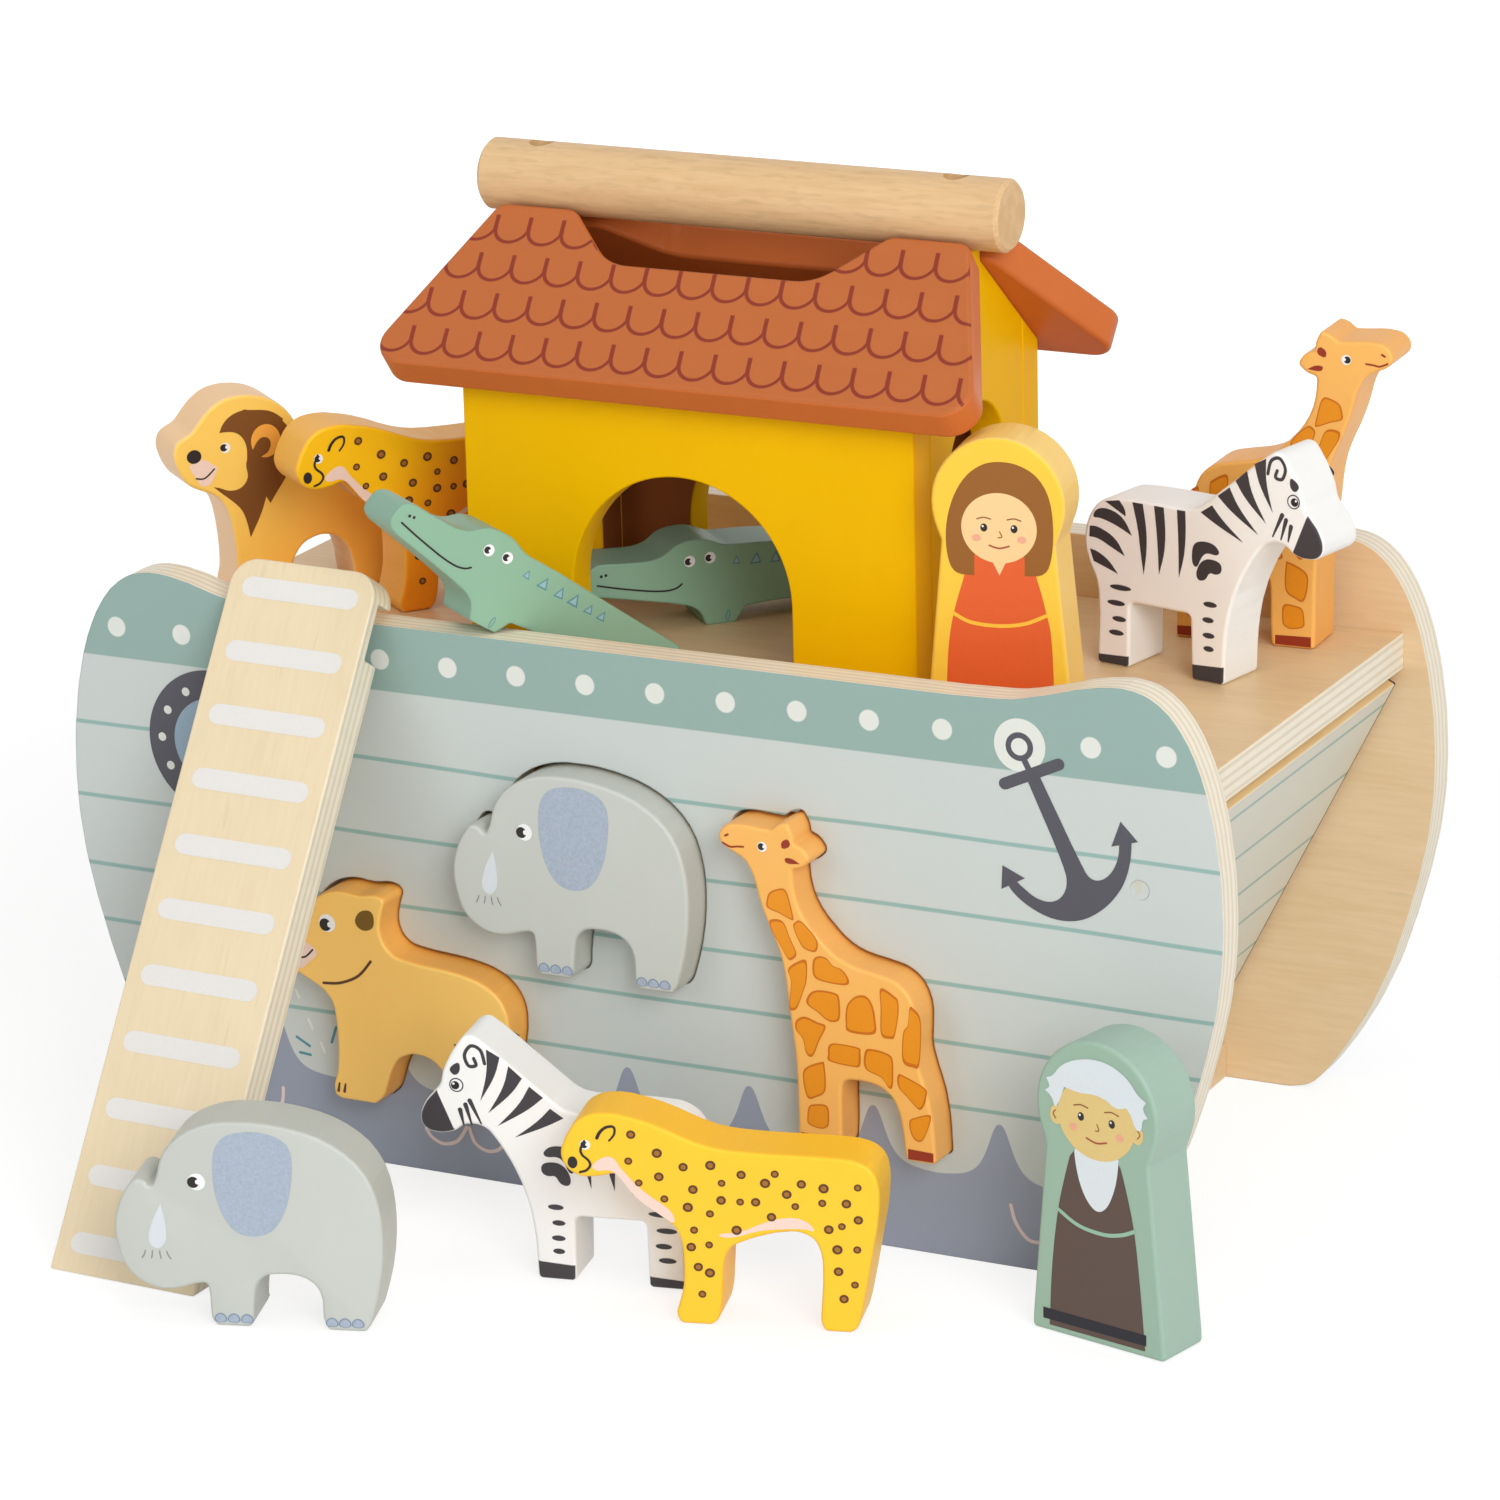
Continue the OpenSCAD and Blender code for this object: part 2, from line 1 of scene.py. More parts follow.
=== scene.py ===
"""Looks of a wooden ark play set: printed plywood hull, painted house and roof, and sawn figures.

Lengths in the tables below are millimetres in the part's frame; MM turns them into metres.
"""
from math import atan, atan2, cos, degrees, dist, hypot, pi, radians, sin

import bmesh
import bpy
from mathutils import Matrix, Vector


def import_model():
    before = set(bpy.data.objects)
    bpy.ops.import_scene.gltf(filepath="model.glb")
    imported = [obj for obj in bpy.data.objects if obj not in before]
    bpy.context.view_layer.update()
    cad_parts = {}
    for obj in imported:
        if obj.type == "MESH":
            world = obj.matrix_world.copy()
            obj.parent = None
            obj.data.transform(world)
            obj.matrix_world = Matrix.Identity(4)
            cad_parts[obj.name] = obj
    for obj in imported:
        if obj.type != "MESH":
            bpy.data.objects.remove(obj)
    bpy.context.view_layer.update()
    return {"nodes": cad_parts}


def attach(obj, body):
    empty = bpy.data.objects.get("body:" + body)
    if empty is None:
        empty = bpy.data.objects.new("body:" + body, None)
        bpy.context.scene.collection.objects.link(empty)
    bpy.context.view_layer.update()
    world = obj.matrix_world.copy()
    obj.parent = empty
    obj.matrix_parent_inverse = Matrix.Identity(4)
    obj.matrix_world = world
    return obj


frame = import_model()
nodes = frame["nodes"]

MM = 0.001
X_AXIS, Y_AXIS, Z_AXIS = (1, 0, 0), (0, 1, 0), (0, 0, 1)

# sizes shared with the part
DECK_TOP, RIM = 160.0, 181.0
HULL_HALF_WIDTH = 95.0
PLY, PLIES = 12.0, 8
FIGURE_THICK = 20.0
HOUSE_INNER_X, HOUSE_INNER_Y = 66.6, 35.1
BOARD_LEAN = radians(27.0)
ROOF_PITCH, RIDGE_Z = radians(39.0), 293.0

# camera, from the photograph's perspective
CAMERA_PLACE = (853.8, -1686.0, 719.0)
CAMERA_TARGET = (-3.7, 0.0, 121.9)
CAMERA_ROLL = -1.42
FOCAL_PX, IMAGE_PX, SENSOR = 6145.0, 1500.0, 36.0

# colours, as eight-bit sRGB
# the end boards' pale is the hull's pale made lighter, painted light for the light the floor throws up on them
PALE_HULL, PALE_END_PAINTED_LIGHT = (201, 208, 205), (217, 217, 205)
# GAP_SHADE is painted shade: a dark line that stands for the shadow in the gaps at the ends of the end boards
WORN_HULL, GAP_SHADE = (204, 198, 178), (44, 39, 32)
TEAL, PLANK_LINE, WAVE = (147, 174, 167), (147, 180, 174), (150, 158, 175)
DOT_WHITE, ANCHOR_INK, GLASS_BLUE = (224, 227, 220), (84, 83, 91), (150, 172, 190)
FOAM_PINK, FOAM_TEAL = (226, 207, 203), (78, 142, 156)
# the inside colour is a dark brown for the inner faces of the house, partly painted shade
HOUSE_YELLOW, HOUSE_INSIDE_BROWN_AND_SHADE = (242, 187, 0), (146, 84, 44)
ROOF, ROOF_LINE, ROOF_EDGE = (190, 105, 55), (140, 54, 36), (206, 110, 52)
BLACK_INK, STRIPE_INK, WHITE_INK = (42, 36, 36), (66, 62, 66), (245, 246, 246)
RUNG_WHITE, STEEL = (230, 227, 222), (186, 186, 190)
# woods, light and dark
PLIES_WOOD = (240, 231, 211), (224, 210, 184)
VENEER = (229, 202, 163), (221, 190, 147)
DECK_WOOD = (230, 202, 158), (221, 190, 147)
PLANK_WOOD = (233, 215, 181), (228, 208, 171)
BARE_EDGE = (244, 216, 164), (236, 204, 150)
BAR_WOOD, BAR_END = ((222, 187, 141), (208, 170, 122)), ((222, 184, 134), (212, 172, 120))
PLUG_WOOD = (236, 203, 152), (225, 187, 134)

# roughness and specular level of the finishes
SATIN, LACQUER, BARE, METAL = 0.4, 0.42, 0.45, 0.3
SHINE, ROOF_SHINE, HOUSE_SHINE = 0.3, 0.18, 0.06
# height in metres and strength of the grain under each finish
VENEER_BUMP, HULL_BUMP, BAR_BUMP = (0.00012, 0.35), (0.0001, 0.3), (0.00015, 0.4)
PAINT_BUMP, ROOF_BUMP = (0.00008, 0.3), (0.00012, 0.5)
# radius of the eased edges; those of the hull sides and the crocodiles are only shaded
EASE_BOARD, EASE_WALL, EASE_ROOF, EASE_FIGURE, EASE_HULL, EASE_CROCODILE = 0.5, 0.8, 1.6, 1.3, 0.8, 1.2
# how squarely a face looks along its piece's axis, at least: a board's, a bar's end, a figure's
BOARD_FACE, BAR_FACE, FIGURE_FACE = 0.7, 0.8, 0.66
# half the blur at the edges of prints and masks
CRISP, INKED, BLURRED = 0.1, 0.2, 0.25


def linear(rgb):
    """eight-bit sRGB to the linear colour that shaders take"""
    def channel(v):
        v /= 255.0
        return v / 12.92 if v <= 0.04045 else ((v + 0.055) / 1.055) ** 2.4
    return tuple(channel(v) for v in rgb) + (1.0,)


class Tree:
    """Short ways to add nodes to a node tree."""

    def __init__(self, tree):
        self.tree = tree

    def node(self, kind, inputs=(), **settings):
        made = self.tree.nodes.new(kind)
        for key, value in settings.items():
            setattr(made, key, value)
        for key, value in dict(inputs).items():
            self.feed(made.inputs[key], value)
        return made

    def feed(self, socket, value):
        if isinstance(value, bpy.types.NodeSocket):
            self.tree.links.new(value, socket)
        else:
            socket.default_value = value

    def math(self, operation, *values):
        return self.node("ShaderNodeMath", enumerate(values), operation=operation).outputs[0]

    def add(self, first, second):
        return self.math("ADD", first, second)

    def sub(self, first, second):
        return self.math("SUBTRACT", first, second)

    def mul(self, first, second):
        return self.math("MULTIPLY", first, second)

    def div(self, first, second):
        return self.math("DIVIDE", first, second)

    def size(self, value):
        return self.math("ABSOLUTE", value)

    def fit(self, value, factor, start):
        return self.math("MULTIPLY_ADD", value, factor, start)

    def span(self, first, second):
        """length of the diagonal"""
        return self.math("SQRT", self.add(self.mul(first, first), self.mul(second, second)))


# sockets of a mix of colours
MIX_A, MIX_B, MIX_OUT = 6, 7, 2


class Net(Tree):
    """A material with masks, patterns and colours."""

    def __init__(self, name, roughness, shine=SHINE):
        self.material = bpy.data.materials.new(name)
        self.material.use_nodes = True
        super().__init__(self.material.node_tree)
        self.shader = self.tree.nodes["Principled BSDF"]
        self.shader.inputs["Roughness"].default_value = roughness
        self.shader.inputs["Specular IOR Level"].default_value = shine
        coords = self.node("ShaderNodeTexCoord")
        self.place, self.normal = coords.outputs["Object"], coords.outputs["Normal"]
        self.edge_normal = None

    def dot(self, vector, direction):
        return self.node("ShaderNodeVectorMath", {0: vector, 1: direction}, operation="DOT_PRODUCT").outputs["Value"]

    def along(self, direction):
        """distance in millimetres of a point along a direction"""
        return self.dot(self.place, tuple(c / MM for c in direction))

    def facing(self, direction):
        """how squarely the surface faces along a direction, either way"""
        return self.size(self.dot(self.normal, direction))

    def step(self, value, edge, soft):
        """0 below the edge, 1 above it, over a soft width"""
        ends = {"Value": value, "From Min": self.shift(edge, -soft), "From Max": self.shift(edge, soft)}
        return self.node("ShaderNodeMapRange", ends, interpolation_type="SMOOTHSTEP").outputs["Result"]

    def shift(self, value, amount):
        return self.add(value, amount) if isinstance(value, bpy.types.NodeSocket) else value + amount

    def inverse(self, mask):
        return self.sub(1.0, mask)

    def below(self, value, edge, soft):
        return self.inverse(self.step(value, edge, soft))

    def flat(self, direction, edge=BOARD_FACE):
        """1 on the faces of a board, 0 on its sawn edges"""
        return self.step(self.facing(direction), edge, CRISP)

    def both(self, *masks):
        result = masks[0]
        for mask in masks[1:]:
            result = self.mul(result, mask)
        return result

    def mix(self, factor, first, second):
        a, b = (v if isinstance(v, bpy.types.NodeSocket) else linear(v) for v in (first, second))
        return self.node("ShaderNodeMix", {0: factor, MIX_A: a, MIX_B: b}, data_type="RGBA").outputs[MIX_OUT]

    def plain(self, colour):
        return self.mix(0.0, colour, colour)

    def noise(self, scale, stretch=(1, 1, 1), detail=3.0):
        mapped = self.node("ShaderNodeMapping", {"Vector": self.place, "Scale": stretch})
        inputs = {"Vector": mapped.outputs["Vector"], "Scale": scale, "Detail": detail}
        return self.node("ShaderNodeTexNoise", inputs).outputs["Fac"]

    def shade(self, colour, amount, pattern):
        """varies a colour's value about itself by a 0 to 1 pattern"""
        value = self.fit(pattern, 2 * amount, 1 - amount)
        return self.node("ShaderNodeHueSaturation", {"Color": colour, "Value": value}).outputs["Color"]

    def rounded(self, radius):
        """shades sharp edges as if eased by a radius"""
        made = self.node("ShaderNodeBevel", {"Radius": radius * MM}, samples=6)
        self.edge_normal = made.outputs["Normal"]
        self.feed(self.shader.inputs["Normal"], self.edge_normal)

    def bump(self, height, distance, strength):
        made = self.node("ShaderNodeBump", {"Height": height, "Distance": distance, "Strength": strength})
        if self.edge_normal is not None:
            self.feed(made.inputs["Normal"], self.edge_normal)
        self.feed(self.shader.inputs["Normal"], made.outputs["Normal"])

    def done(self, colour, roughness=None):
        self.feed(self.shader.inputs["Base Color"], colour)
        if roughness is not None:
            self.feed(self.shader.inputs["Roughness"], roughness)
        return self.material


def grain(net, direction, light, dark):
    """veneer figure: long streaks along a direction with fine pores"""
    def stretched(along, across, detail):
        return net.noise(1.0, tuple(along if c else across for c in direction), detail)
    streaks, fine = stretched(9, 95, 5.0), stretched(54, 665, 4.0)
    blend = net.step(net.fit(fine, 0.6, net.mul(streaks, 0.4)), 0.52, 0.24)
    flecks = net.step(stretched(40, 420, 1.0), 0.73, 0.05)
    colour = net.shade(net.mix(blend, light, dark), 0.03, net.inverse(flecks))
    return net.shade(colour, 0.04, net.noise(9.0, detail=2.0)), streaks


def layers(net, across, start, thick):
    """the light and dark plies on a sawn edge"""
    depth = net.div(net.sub(net.along(across), start), thick / PLIES)
    wobble = net.fit(net.noise(60.0), 0.22, -0.11)
    turn = net.math("PINGPONG", net.add(depth, wobble), 1.0)
    return net.shade(net.mix(net.step(turn, 0.62, 0.3), *PLIES_WOOD), 0.05, net.noise(220.0))


def deck_ply(name):
    """clear lacquered plywood: veneer on its faces, plies on its edges"""
    net = Net(name, LACQUER)
    veneer, streaks = grain(net, X_AXIS, *DECK_WOOD)
    edge = layers(net, Z_AXIS, DECK_TOP - PLY, PLY)
    net.bump(streaks, *VENEER_BUMP)
    return net.done(net.mix(net.flat(Z_AXIS), edge, veneer))


def plain_wood(name):
    """veneer on all sides"""
    net = Net(name, LACQUER)
    colour, streaks = grain(net, X_AXIS, *VENEER)
    net.bump(streaks, *VENEER_BUMP)
    return net.done(colour)


def house_paint(name):
    """satin yellow over wood with a faint grain, and a dark brown inside that is partly painted shade"""
    net = Net(name, SATIN, HOUSE_SHINE)
    streaks = net.noise(1.0, (130, 130, 14), 4.0)
    inside = [net.below(net.size(net.along(axis)), reach, CRISP)
              for axis, reach in ((X_AXIS, HOUSE_INNER_X), (Y_AXIS, HOUSE_INNER_Y))]
    # inner faces: dark brown, partly painted shade
    base = net.mix(net.both(*inside), HOUSE_YELLOW, HOUSE_INSIDE_BROWN_AND_SHADE)
    shaded = net.shade(net.shade(base, 0.03, net.noise(30.0)), 0.018, streaks)
    net.bump(streaks, *PAINT_BUMP)
    return net.done(shaded, net.fit(net.noise(45.0), 0.16, SATIN - 0.08))


# hull print
BAND_LOW = 159.6
DOT_Z, DOT_RADIUS, DOT_PITCH, DOT_FIRST = 169.8, 3.3, 24.23, -181.5
PLANK_LINES, PLANK_LINE_HALF, PLANK_WAVER = (136.6, 111.6, 88.8, 70.2, 49.6), 0.68, 2.0
WAVE_PITCH, WAVE_FIRST, WAVE_LOW, WAVE_TALL, WAVE_HALF, WAVE_ROUND = 42.6, -1.2, 26.4, 19.4, 4.8, 2.4
# the second number is the width of the painted shade line along the end boards' gaps
PRINT_DEEP, GAP_SHADE_WIDTH = 0.7, 1.5


def nearest(net, value, first, pitch):
    """signed distance to the nearest of an evenly spaced row"""
    turn = net.div(net.sub(value, first), pitch)
    part = net.sub(net.math("FRACT", net.add(turn, 0.5)), 0.5)
    return net.mul(part, pitch)


def plank_print(net, pale):
    """a pale ground with wavering lines between planks"""
    z = net.along(Z_AXIS)
    waver = net.fit(net.noise(1.0, (7, 0, 11), 1.0), 2 * PLANK_WAVER, -PLANK_WAVER)
    colour = net.plain(pale)
    for line in PLANK_LINES:
        away = net.size(net.sub(z, net.add(waver, line)))
        colour = net.mix(net.below(away, PLANK_LINE_HALF, BLURRED), colour, PLANK_LINE)
    return colour


def hull_print(net):
    """planks, a band with dots above and waves below"""
    x, z = net.along(X_AXIS), net.along(Z_AXIS)
    colour = net.mix(net.step(z, BAND_LOW, BLURRED), plank_print(net, PALE_HULL), TEAL)
    away = net.span(nearest(net, x, DOT_FIRST, DOT_PITCH), net.sub(z, DOT_Z))
    colour = net.mix(net.below(away, DOT_RADIUS, BLURRED), colour, DOT_WHITE)
    reach = net.div(net.size(nearest(net, x, WAVE_FIRST, WAVE_PITCH)), WAVE_HALF)
    hump = net.div(WAVE_TALL, net.add(net.math("POWER", reach, WAVE_ROUND), 1.0))
    return net.mix(net.below(z, net.add(hump, WAVE_LOW), BLURRED), colour, WAVE)


def worn_print(net, colour):
    return net.shade(colour, 0.018, net.noise(25.0))


def hull_side(name, outward):
    """print on the outer face, veneer inside, plies on the sawn edges"""
    net = Net(name, SATIN)
    printed = worn_print(net, hull_print(net))
    veneer, streaks = grain(net, X_AXIS, *VENEER)
    edge = layers(net, Y_AXIS, outward * HULL_HALF_WIDTH, outward * -PLY)
    outer = net.step(net.along((0, outward, 0)), HULL_HALF_WIDTH - PRINT_DEEP, 0.15)
    net.rounded(EASE_HULL)
    net.bump(streaks, *HULL_BUMP)
    return net.done(net.mix(net.flat(Y_AXIS), edge, net.mix(outer, veneer, printed)))


def end_board(name, direction, half):
    """the same plank print on a leaning end board, in a pale made lighter as painted light, bare edges, and a dark line
    of painted shade along the gaps at its ends
    """
    net = Net(name, SATIN)
    # the end boards' pale is lighter than the hull's as painted light
    printed = worn_print(net, plank_print(net, PALE_END_PAINTED_LIGHT))
    edge = grain(net, Y_AXIS, *BARE_EDGE)[0]
    # painted shade: a dark line on the board near its ends, where the gaps are in shadow
    painted_gap_shade = net.both(net.step(net.size(net.along(Y_AXIS)), half - GAP_SHADE_WIDTH, 0.12),
                   net.below(net.facing(Y_AXIS), 0.88, 0.06))
    return net.done(net.mix(painted_gap_shade, net.mix(net.flat(direction), edge, printed), GAP_SHADE))


# roof scales
SCALE_PITCH, SCALE_CUSP, SCALE_ROW, SCALE_ROWS = 11.82, 3.4, 15.35, 4
SCALE_FIRST, SCALE_BOTTOM, SCALE_DEEP, SCALE_LINE = 8.7, 12.4, 6.2, 0.6
STEM_TOP, STEM_FOOT, STEM_HALF, STEM_LEAN = 1.9, 8.0, 0.75, 0.16


def roof_paint(name, side):
    """terracotta with rows of scale outlines; side is -1 for the front board"""
    net = Net(name, LACQUER, ROOF_SHINE)
    run, fall = cos(ROOF_PITCH), sin(ROOF_PITCH)
    x = net.along(X_AXIS)
    down = net.sub(net.along((0, side * run, -fall)), -RIDGE_Z * fall)
    row = net.div(net.sub(down, SCALE_FIRST), SCALE_ROW)
    number = net.math("FLOOR", row)
    part = net.mul(net.sub(row, number), SCALE_ROW)
    printed = net.both(net.step(number, -0.5, CRISP), net.below(number, SCALE_ROWS - 0.5, CRISP))
    # a half oval hangs between two cusps
    half = SCALE_PITCH / 2
    across = nearest(net, x, SCALE_CUSP + half, SCALE_PITCH)
    drop = net.mul(net.sub(part, SCALE_BOTTOM - SCALE_DEEP), half / SCALE_DEEP)
    oval_line = net.both(net.below(net.size(net.sub(net.span(across, drop), half)), SCALE_LINE, INKED),
                         net.step(drop, 0.0, INKED))
    # a short stem stands on each cusp
    lean = net.mul(net.sub(part, STEM_FOOT), STEM_LEAN)
    beside = net.size(nearest(net, net.sub(x, lean), SCALE_CUSP, SCALE_PITCH))
    stem = net.both(net.below(beside, STEM_HALF, INKED), net.step(part, STEM_TOP, BLURRED),
                    net.below(part, STEM_FOOT, BLURRED))
    upper = net.step(net.along((0, side * fall, run)), RIDGE_Z * run + PLY - PRINT_DEEP, CRISP)
    line = net.both(net.math("MAXIMUM", oval_line, stem), printed, upper)
    streaks = net.noise(1.0, (14, 130, 130), 4.0)
    base = net.mix(upper, ROOF_EDGE, net.mix(line, ROOF, ROOF_LINE))
    net.bump(net.sub(streaks, net.mul(line, 1.5)), *ROOF_BUMP)
    return net.done(net.shade(net.shade(base, 0.03, net.noise(30.0)), 0.03, streaks))


def dowel_wood(name, along):
    """turned wood with pores, and end grain"""
    net = Net(name, BARE)
    colour, streaks = grain(net, along, *BAR_WOOD)
    pores = net.step(net.noise(1.0, tuple(150 if c else 620 for c in along), 1.0), 0.6, CRISP)
    colour = net.shade(colour, 0.04, net.inverse(pores))
    colour = net.shade(colour, 0.05, net.noise(1.0, tuple(16 if c else 45 for c in along), 2.0))
    rings = net.step(net.noise(190.0, detail=2.0), 0.5, 0.15)
    net.bump(streaks, *BAR_BUMP)
    return net.done(net.mix(net.flat(along, BAR_FACE), colour, net.mix(rings, *BAR_END)))


def painted_plug(name):
    """a pin whose outer end is painted over with the hull"""
    net = Net(name, LACQUER)
    wood = grain(net, Y_AXIS, *PLUG_WOOD)[0]
    worn = net.mix(net.step(net.noise(260.0), 0.6, 0.12), PALE_HULL, WORN_HULL)
    return net.done(net.mix(net.flat(Y_AXIS, BAR_FACE), wood, worn))


def screw_steel(name):
    net = Net(name, METAL)
    net.shader.inputs["Metallic"].default_value = 1.0
    return net.done(net.shade(net.plain(STEEL), 0.06, net.noise(900.0)), net.fit(net.noise(500.0), 0.2, 0.2))


# one crocodile leans with its fore foot on the rim and its hind foot on the deck
CROC_HEEL, CROC_HEEL_RUN, SEAT_GAP = 5, 32.86, 0.3
CROC_LEAN = degrees(atan((RIM - DECK_TOP) / CROC_HEEL_RUN))
CROC_RIM_Z = RIM + CROC_HEEL * sin(radians(CROC_LEAN)) + SEAT_GAP
# figures, whose names begin with their kind: place of the front face's foot, and turn
FIGURES = {
    "elephant_posted": ((-2.5, -106, 76.8), 0),
    "lioness_posted": ((-72, -106, 24.5), 0),
    "giraffe_posted": ((88, -106, 33.8), 0),
    "lion": ((-158.1, -4.5, DECK_TOP), 50),
    "cheetah_deck": ((-103.8, 3.6, DECK_TOP), 53),
    "crocodile_rim": ((-48.4, -93.1, CROC_RIM_Z), 53.5),
    "crocodile_house": ((-18.4, 10.6, DECK_TOP), 46),
    "woman": ((110.5, -56, DECK_TOP), 10),
    "zebra_deck": ((134.8, 11.5, DECK_TOP), -10.8),
    "giraffe_deck": ((145.5, 52.5, DECK_TOP), 3),
    "elephant_ground": ((-49, -225.8, 0), 17),
    "zebra_ground": ((24.4, -156.6, 0), 11),
    "cheetah_ground": ((83.4, -168.4, 0), 15),
    "man": ((178.5, -140.6, 0), -12.7),
}
LEANS, SCALES, FACING_STERN = {"crocodile_rim": CROC_LEAN}, {"woman": 0.95}, ("zebra_deck", "giraffe_deck")
# one cheetah is a deeper yellow than the other
NODE_PAINT = {"cheetah_deck": ((255, 198, 14), (246, 182, 78))}
# painted shade and warm reflected light that deepen from the head to the rear and the feet: its colour there, and x - z
# halfway
WARM_SHADE_AND_BOUNCE = {"lion": ((255, 190, 80), -38.0), "cheetah_deck": ((255, 156, 28), -58.0)}
WARM_SHADE_SOFT = 28.0
# prints that run out to the sawn edge: a half plane a x + b z < c, and its colour
EDGE_PRINT = {"zebra": [((1, 0.42, -29.3), STRIPE_INK), ((0.06, 1, 4.5), STRIPE_INK)]}
# the two zebras' prints sit a little differently on the wood
PRINT_SHIFT = {"zebra_deck": (-2.4, 2.4), "zebra_ground": (-0.8, 0.8)}
# outlines too tight for cut bevels
SHADED_EDGES = ("crocodile",)


def kind_of(node):
    return node.split("_")[0]


def figure_frame(node):
    """a function from a figure's own x, z and depth to the row frame, and its axes and origin"""
    place, turn = FIGURES[node]
    a, t = radians(turn), radians(LEANS.get(node, 0))
    sign, size = -1 if node in FACING_STERN else 1, SCALES.get(node, 1)
    along = Vector((cos(a) * cos(t), sin(a) * cos(t), -sin(t)))
    up = Vector((cos(a) * sin(t), sin(a) * sin(t), cos(t)))
    back = Vector((-sin(a), cos(a), 0))
    start = Vector(place)

    def world(x, z, depth):
        return (start + along * (x * sign * size) + up * (z * size) + back * depth) * MM
    return world, along * sign, up, back, start


def figure_paint(node):
    """paint on the faces and on the sawn edges, with painted warm shade or edge print where a figure has it"""
    kind = kind_of(node)
    _, along, up, back, start = figure_frame(node)
    face, side = NODE_PAINT.get(node, KINDS[kind][:2])
    net = Net(node + "_paint", SATIN)
    if kind in SHADED_EDGES:
        net.rounded(EASE_CROCODILE)
    base = net.plain(face)
    x, z = (net.sub(net.along(tuple(axis)), start.dot(axis)) for axis in (along, up))
    # painted shade and warm reflected light, deepening towards the rear and the feet
    if node in WARM_SHADE_AND_BOUNCE:
        warm_shade, middle = WARM_SHADE_AND_BOUNCE[node]
        base = net.mix(net.step(net.sub(x, z), middle, WARM_SHADE_SOFT), base, warm_shade)
    for (a, b, c), colour in EDGE_PRINT.get(kind, ()):
        base = net.mix(net.below(net.add(net.mul(x, a), net.mul(z, b)), c, 0.15), base, colour)
    base = net.mix(net.flat(tuple(back), FIGURE_FACE), side, base)
    streaks = net.noise(1.0, (60, 60, 14), 4.0)
    base = net.shade(net.shade(base, 0.02, net.noise(40.0)), 0.02, streaks)
    net.bump(streaks, *PAINT_BUMP)
    return net.done(base, net.fit(net.noise(60.0), 0.16, SATIN - 0.06))


# shapes of the prints, in a figure's own x and z, with points that are not too close
TOO_CLOSE = 0.02


def oval(x, z, rx, rz=None, lean=0.0, count=28):
    rz = rx if rz is None else rz
    c, s = cos(radians(lean)), sin(radians(lean))
    turns = [2 * pi * i / count for i in range(count)]
    local = [(rx * cos(t), rz * sin(t)) for t in turns]
    return [(x + u * c - v * s, z + u * s + v * c) for u, v in local]


def soft(points, rounds=3):
    """a closed outline with its corners cut; a point's third number 2 keeps its corner sharp"""
    points = [p[:2] for p in points for _ in range(p[2] if len(p) > 2 else 1)]
    for _ in range(rounds):
        points = [tuple((1 - t) * a + t * b for a, b in zip(p, q))
                  for p, q in zip(points, points[1:] + points[:1]) for t in (0.25, 0.75)]
    kept = []
    for p in points:
        if not kept or dist(p, kept[-1]) > TOO_CLOSE:
            kept.append(p)
    return kept


def curve(points, steps=8):
    """a smooth open line through points"""
    ends = [points[0]] + list(points) + [points[-1]]
    line = []
    for p0, p1, p2, p3 in zip(ends, ends[1:], ends[2:], ends[3:]):
        for i in range(steps):
            t = i / steps
            line.append(tuple(
                0.5 * (2 * b + (c - a) * t + (2 * a - 5 * b + 4 * c - d) * t * t + (3 * b - a - 3 * c + d) * t ** 3)
                for a, b, c, d in zip(p0, p1, p2, p3)))
    return line + [tuple(points[-1])]


def stroke(points, width, taper=1.0):
    """a drawn line with round ends; taper narrows its far end"""
    line = curve(points) if len(points) > 2 else list(points)
    left, right = [], []
    for i, (x, z) in enumerate(line):
        (ax, az), (bx, bz) = line[max(i - 1, 0)], line[min(i + 1, len(line) - 1)]
        length = hypot(bx - ax, bz - az) or 1.0
        nx, nz = -(bz - az) / length, (bx - ax) / length
        half = 0.5 * width * (1 + (taper - 1) * i / (len(line) - 1))
        left.append((x + nx * half, z + nz * half))
        right.append((x - nx * half, z - nz * half))

    def cap(before, end, radius):
        begin = atan2(end[1] - before[1], end[0] - before[0]) + pi / 2
        turns = [begin - pi * k / 6 for k in range(1, 6)]
        return [(end[0] + radius * cos(t), end[1] + radius * sin(t)) for t in turns]
    return left + cap(*line[-2:], 0.5 * width * taper) + right[::-1] + cap(line[1], line[0], 0.5 * width)


def grown(points, factor):
    """an outline scaled about its middle"""
    cx, cz = (sum(values) / len(points) for values in zip(*points))
    return [(cx + (x - cx) * factor, cz + (z - cz) * factor) for x, z in points]


def loop(points, steps=5):
    """a smooth closed outline through points"""
    line = curve([points[-1]] + list(points) + [points[0], points[1]], steps)
    return line[steps:-steps - 1]


def wedge(first, second, tip, bend):
    """a tapering stripe from a short edge to a tip"""
    wide = [0.14 * (b - a) for a, b in zip(first, second)]
    first = (first[0] - wide[0], first[1] - wide[1])
    second = (second[0] + wide[0], second[1] + wide[1])
    mids = [(0.56 * edge[0] + 0.44 * tip[0] + bend, 0.56 * edge[1] + 0.44 * tip[1]) for edge in (first, second)]
    return soft([first + (2,), mids[0], tip + (2,), mids[1], second + (2,)], 2)


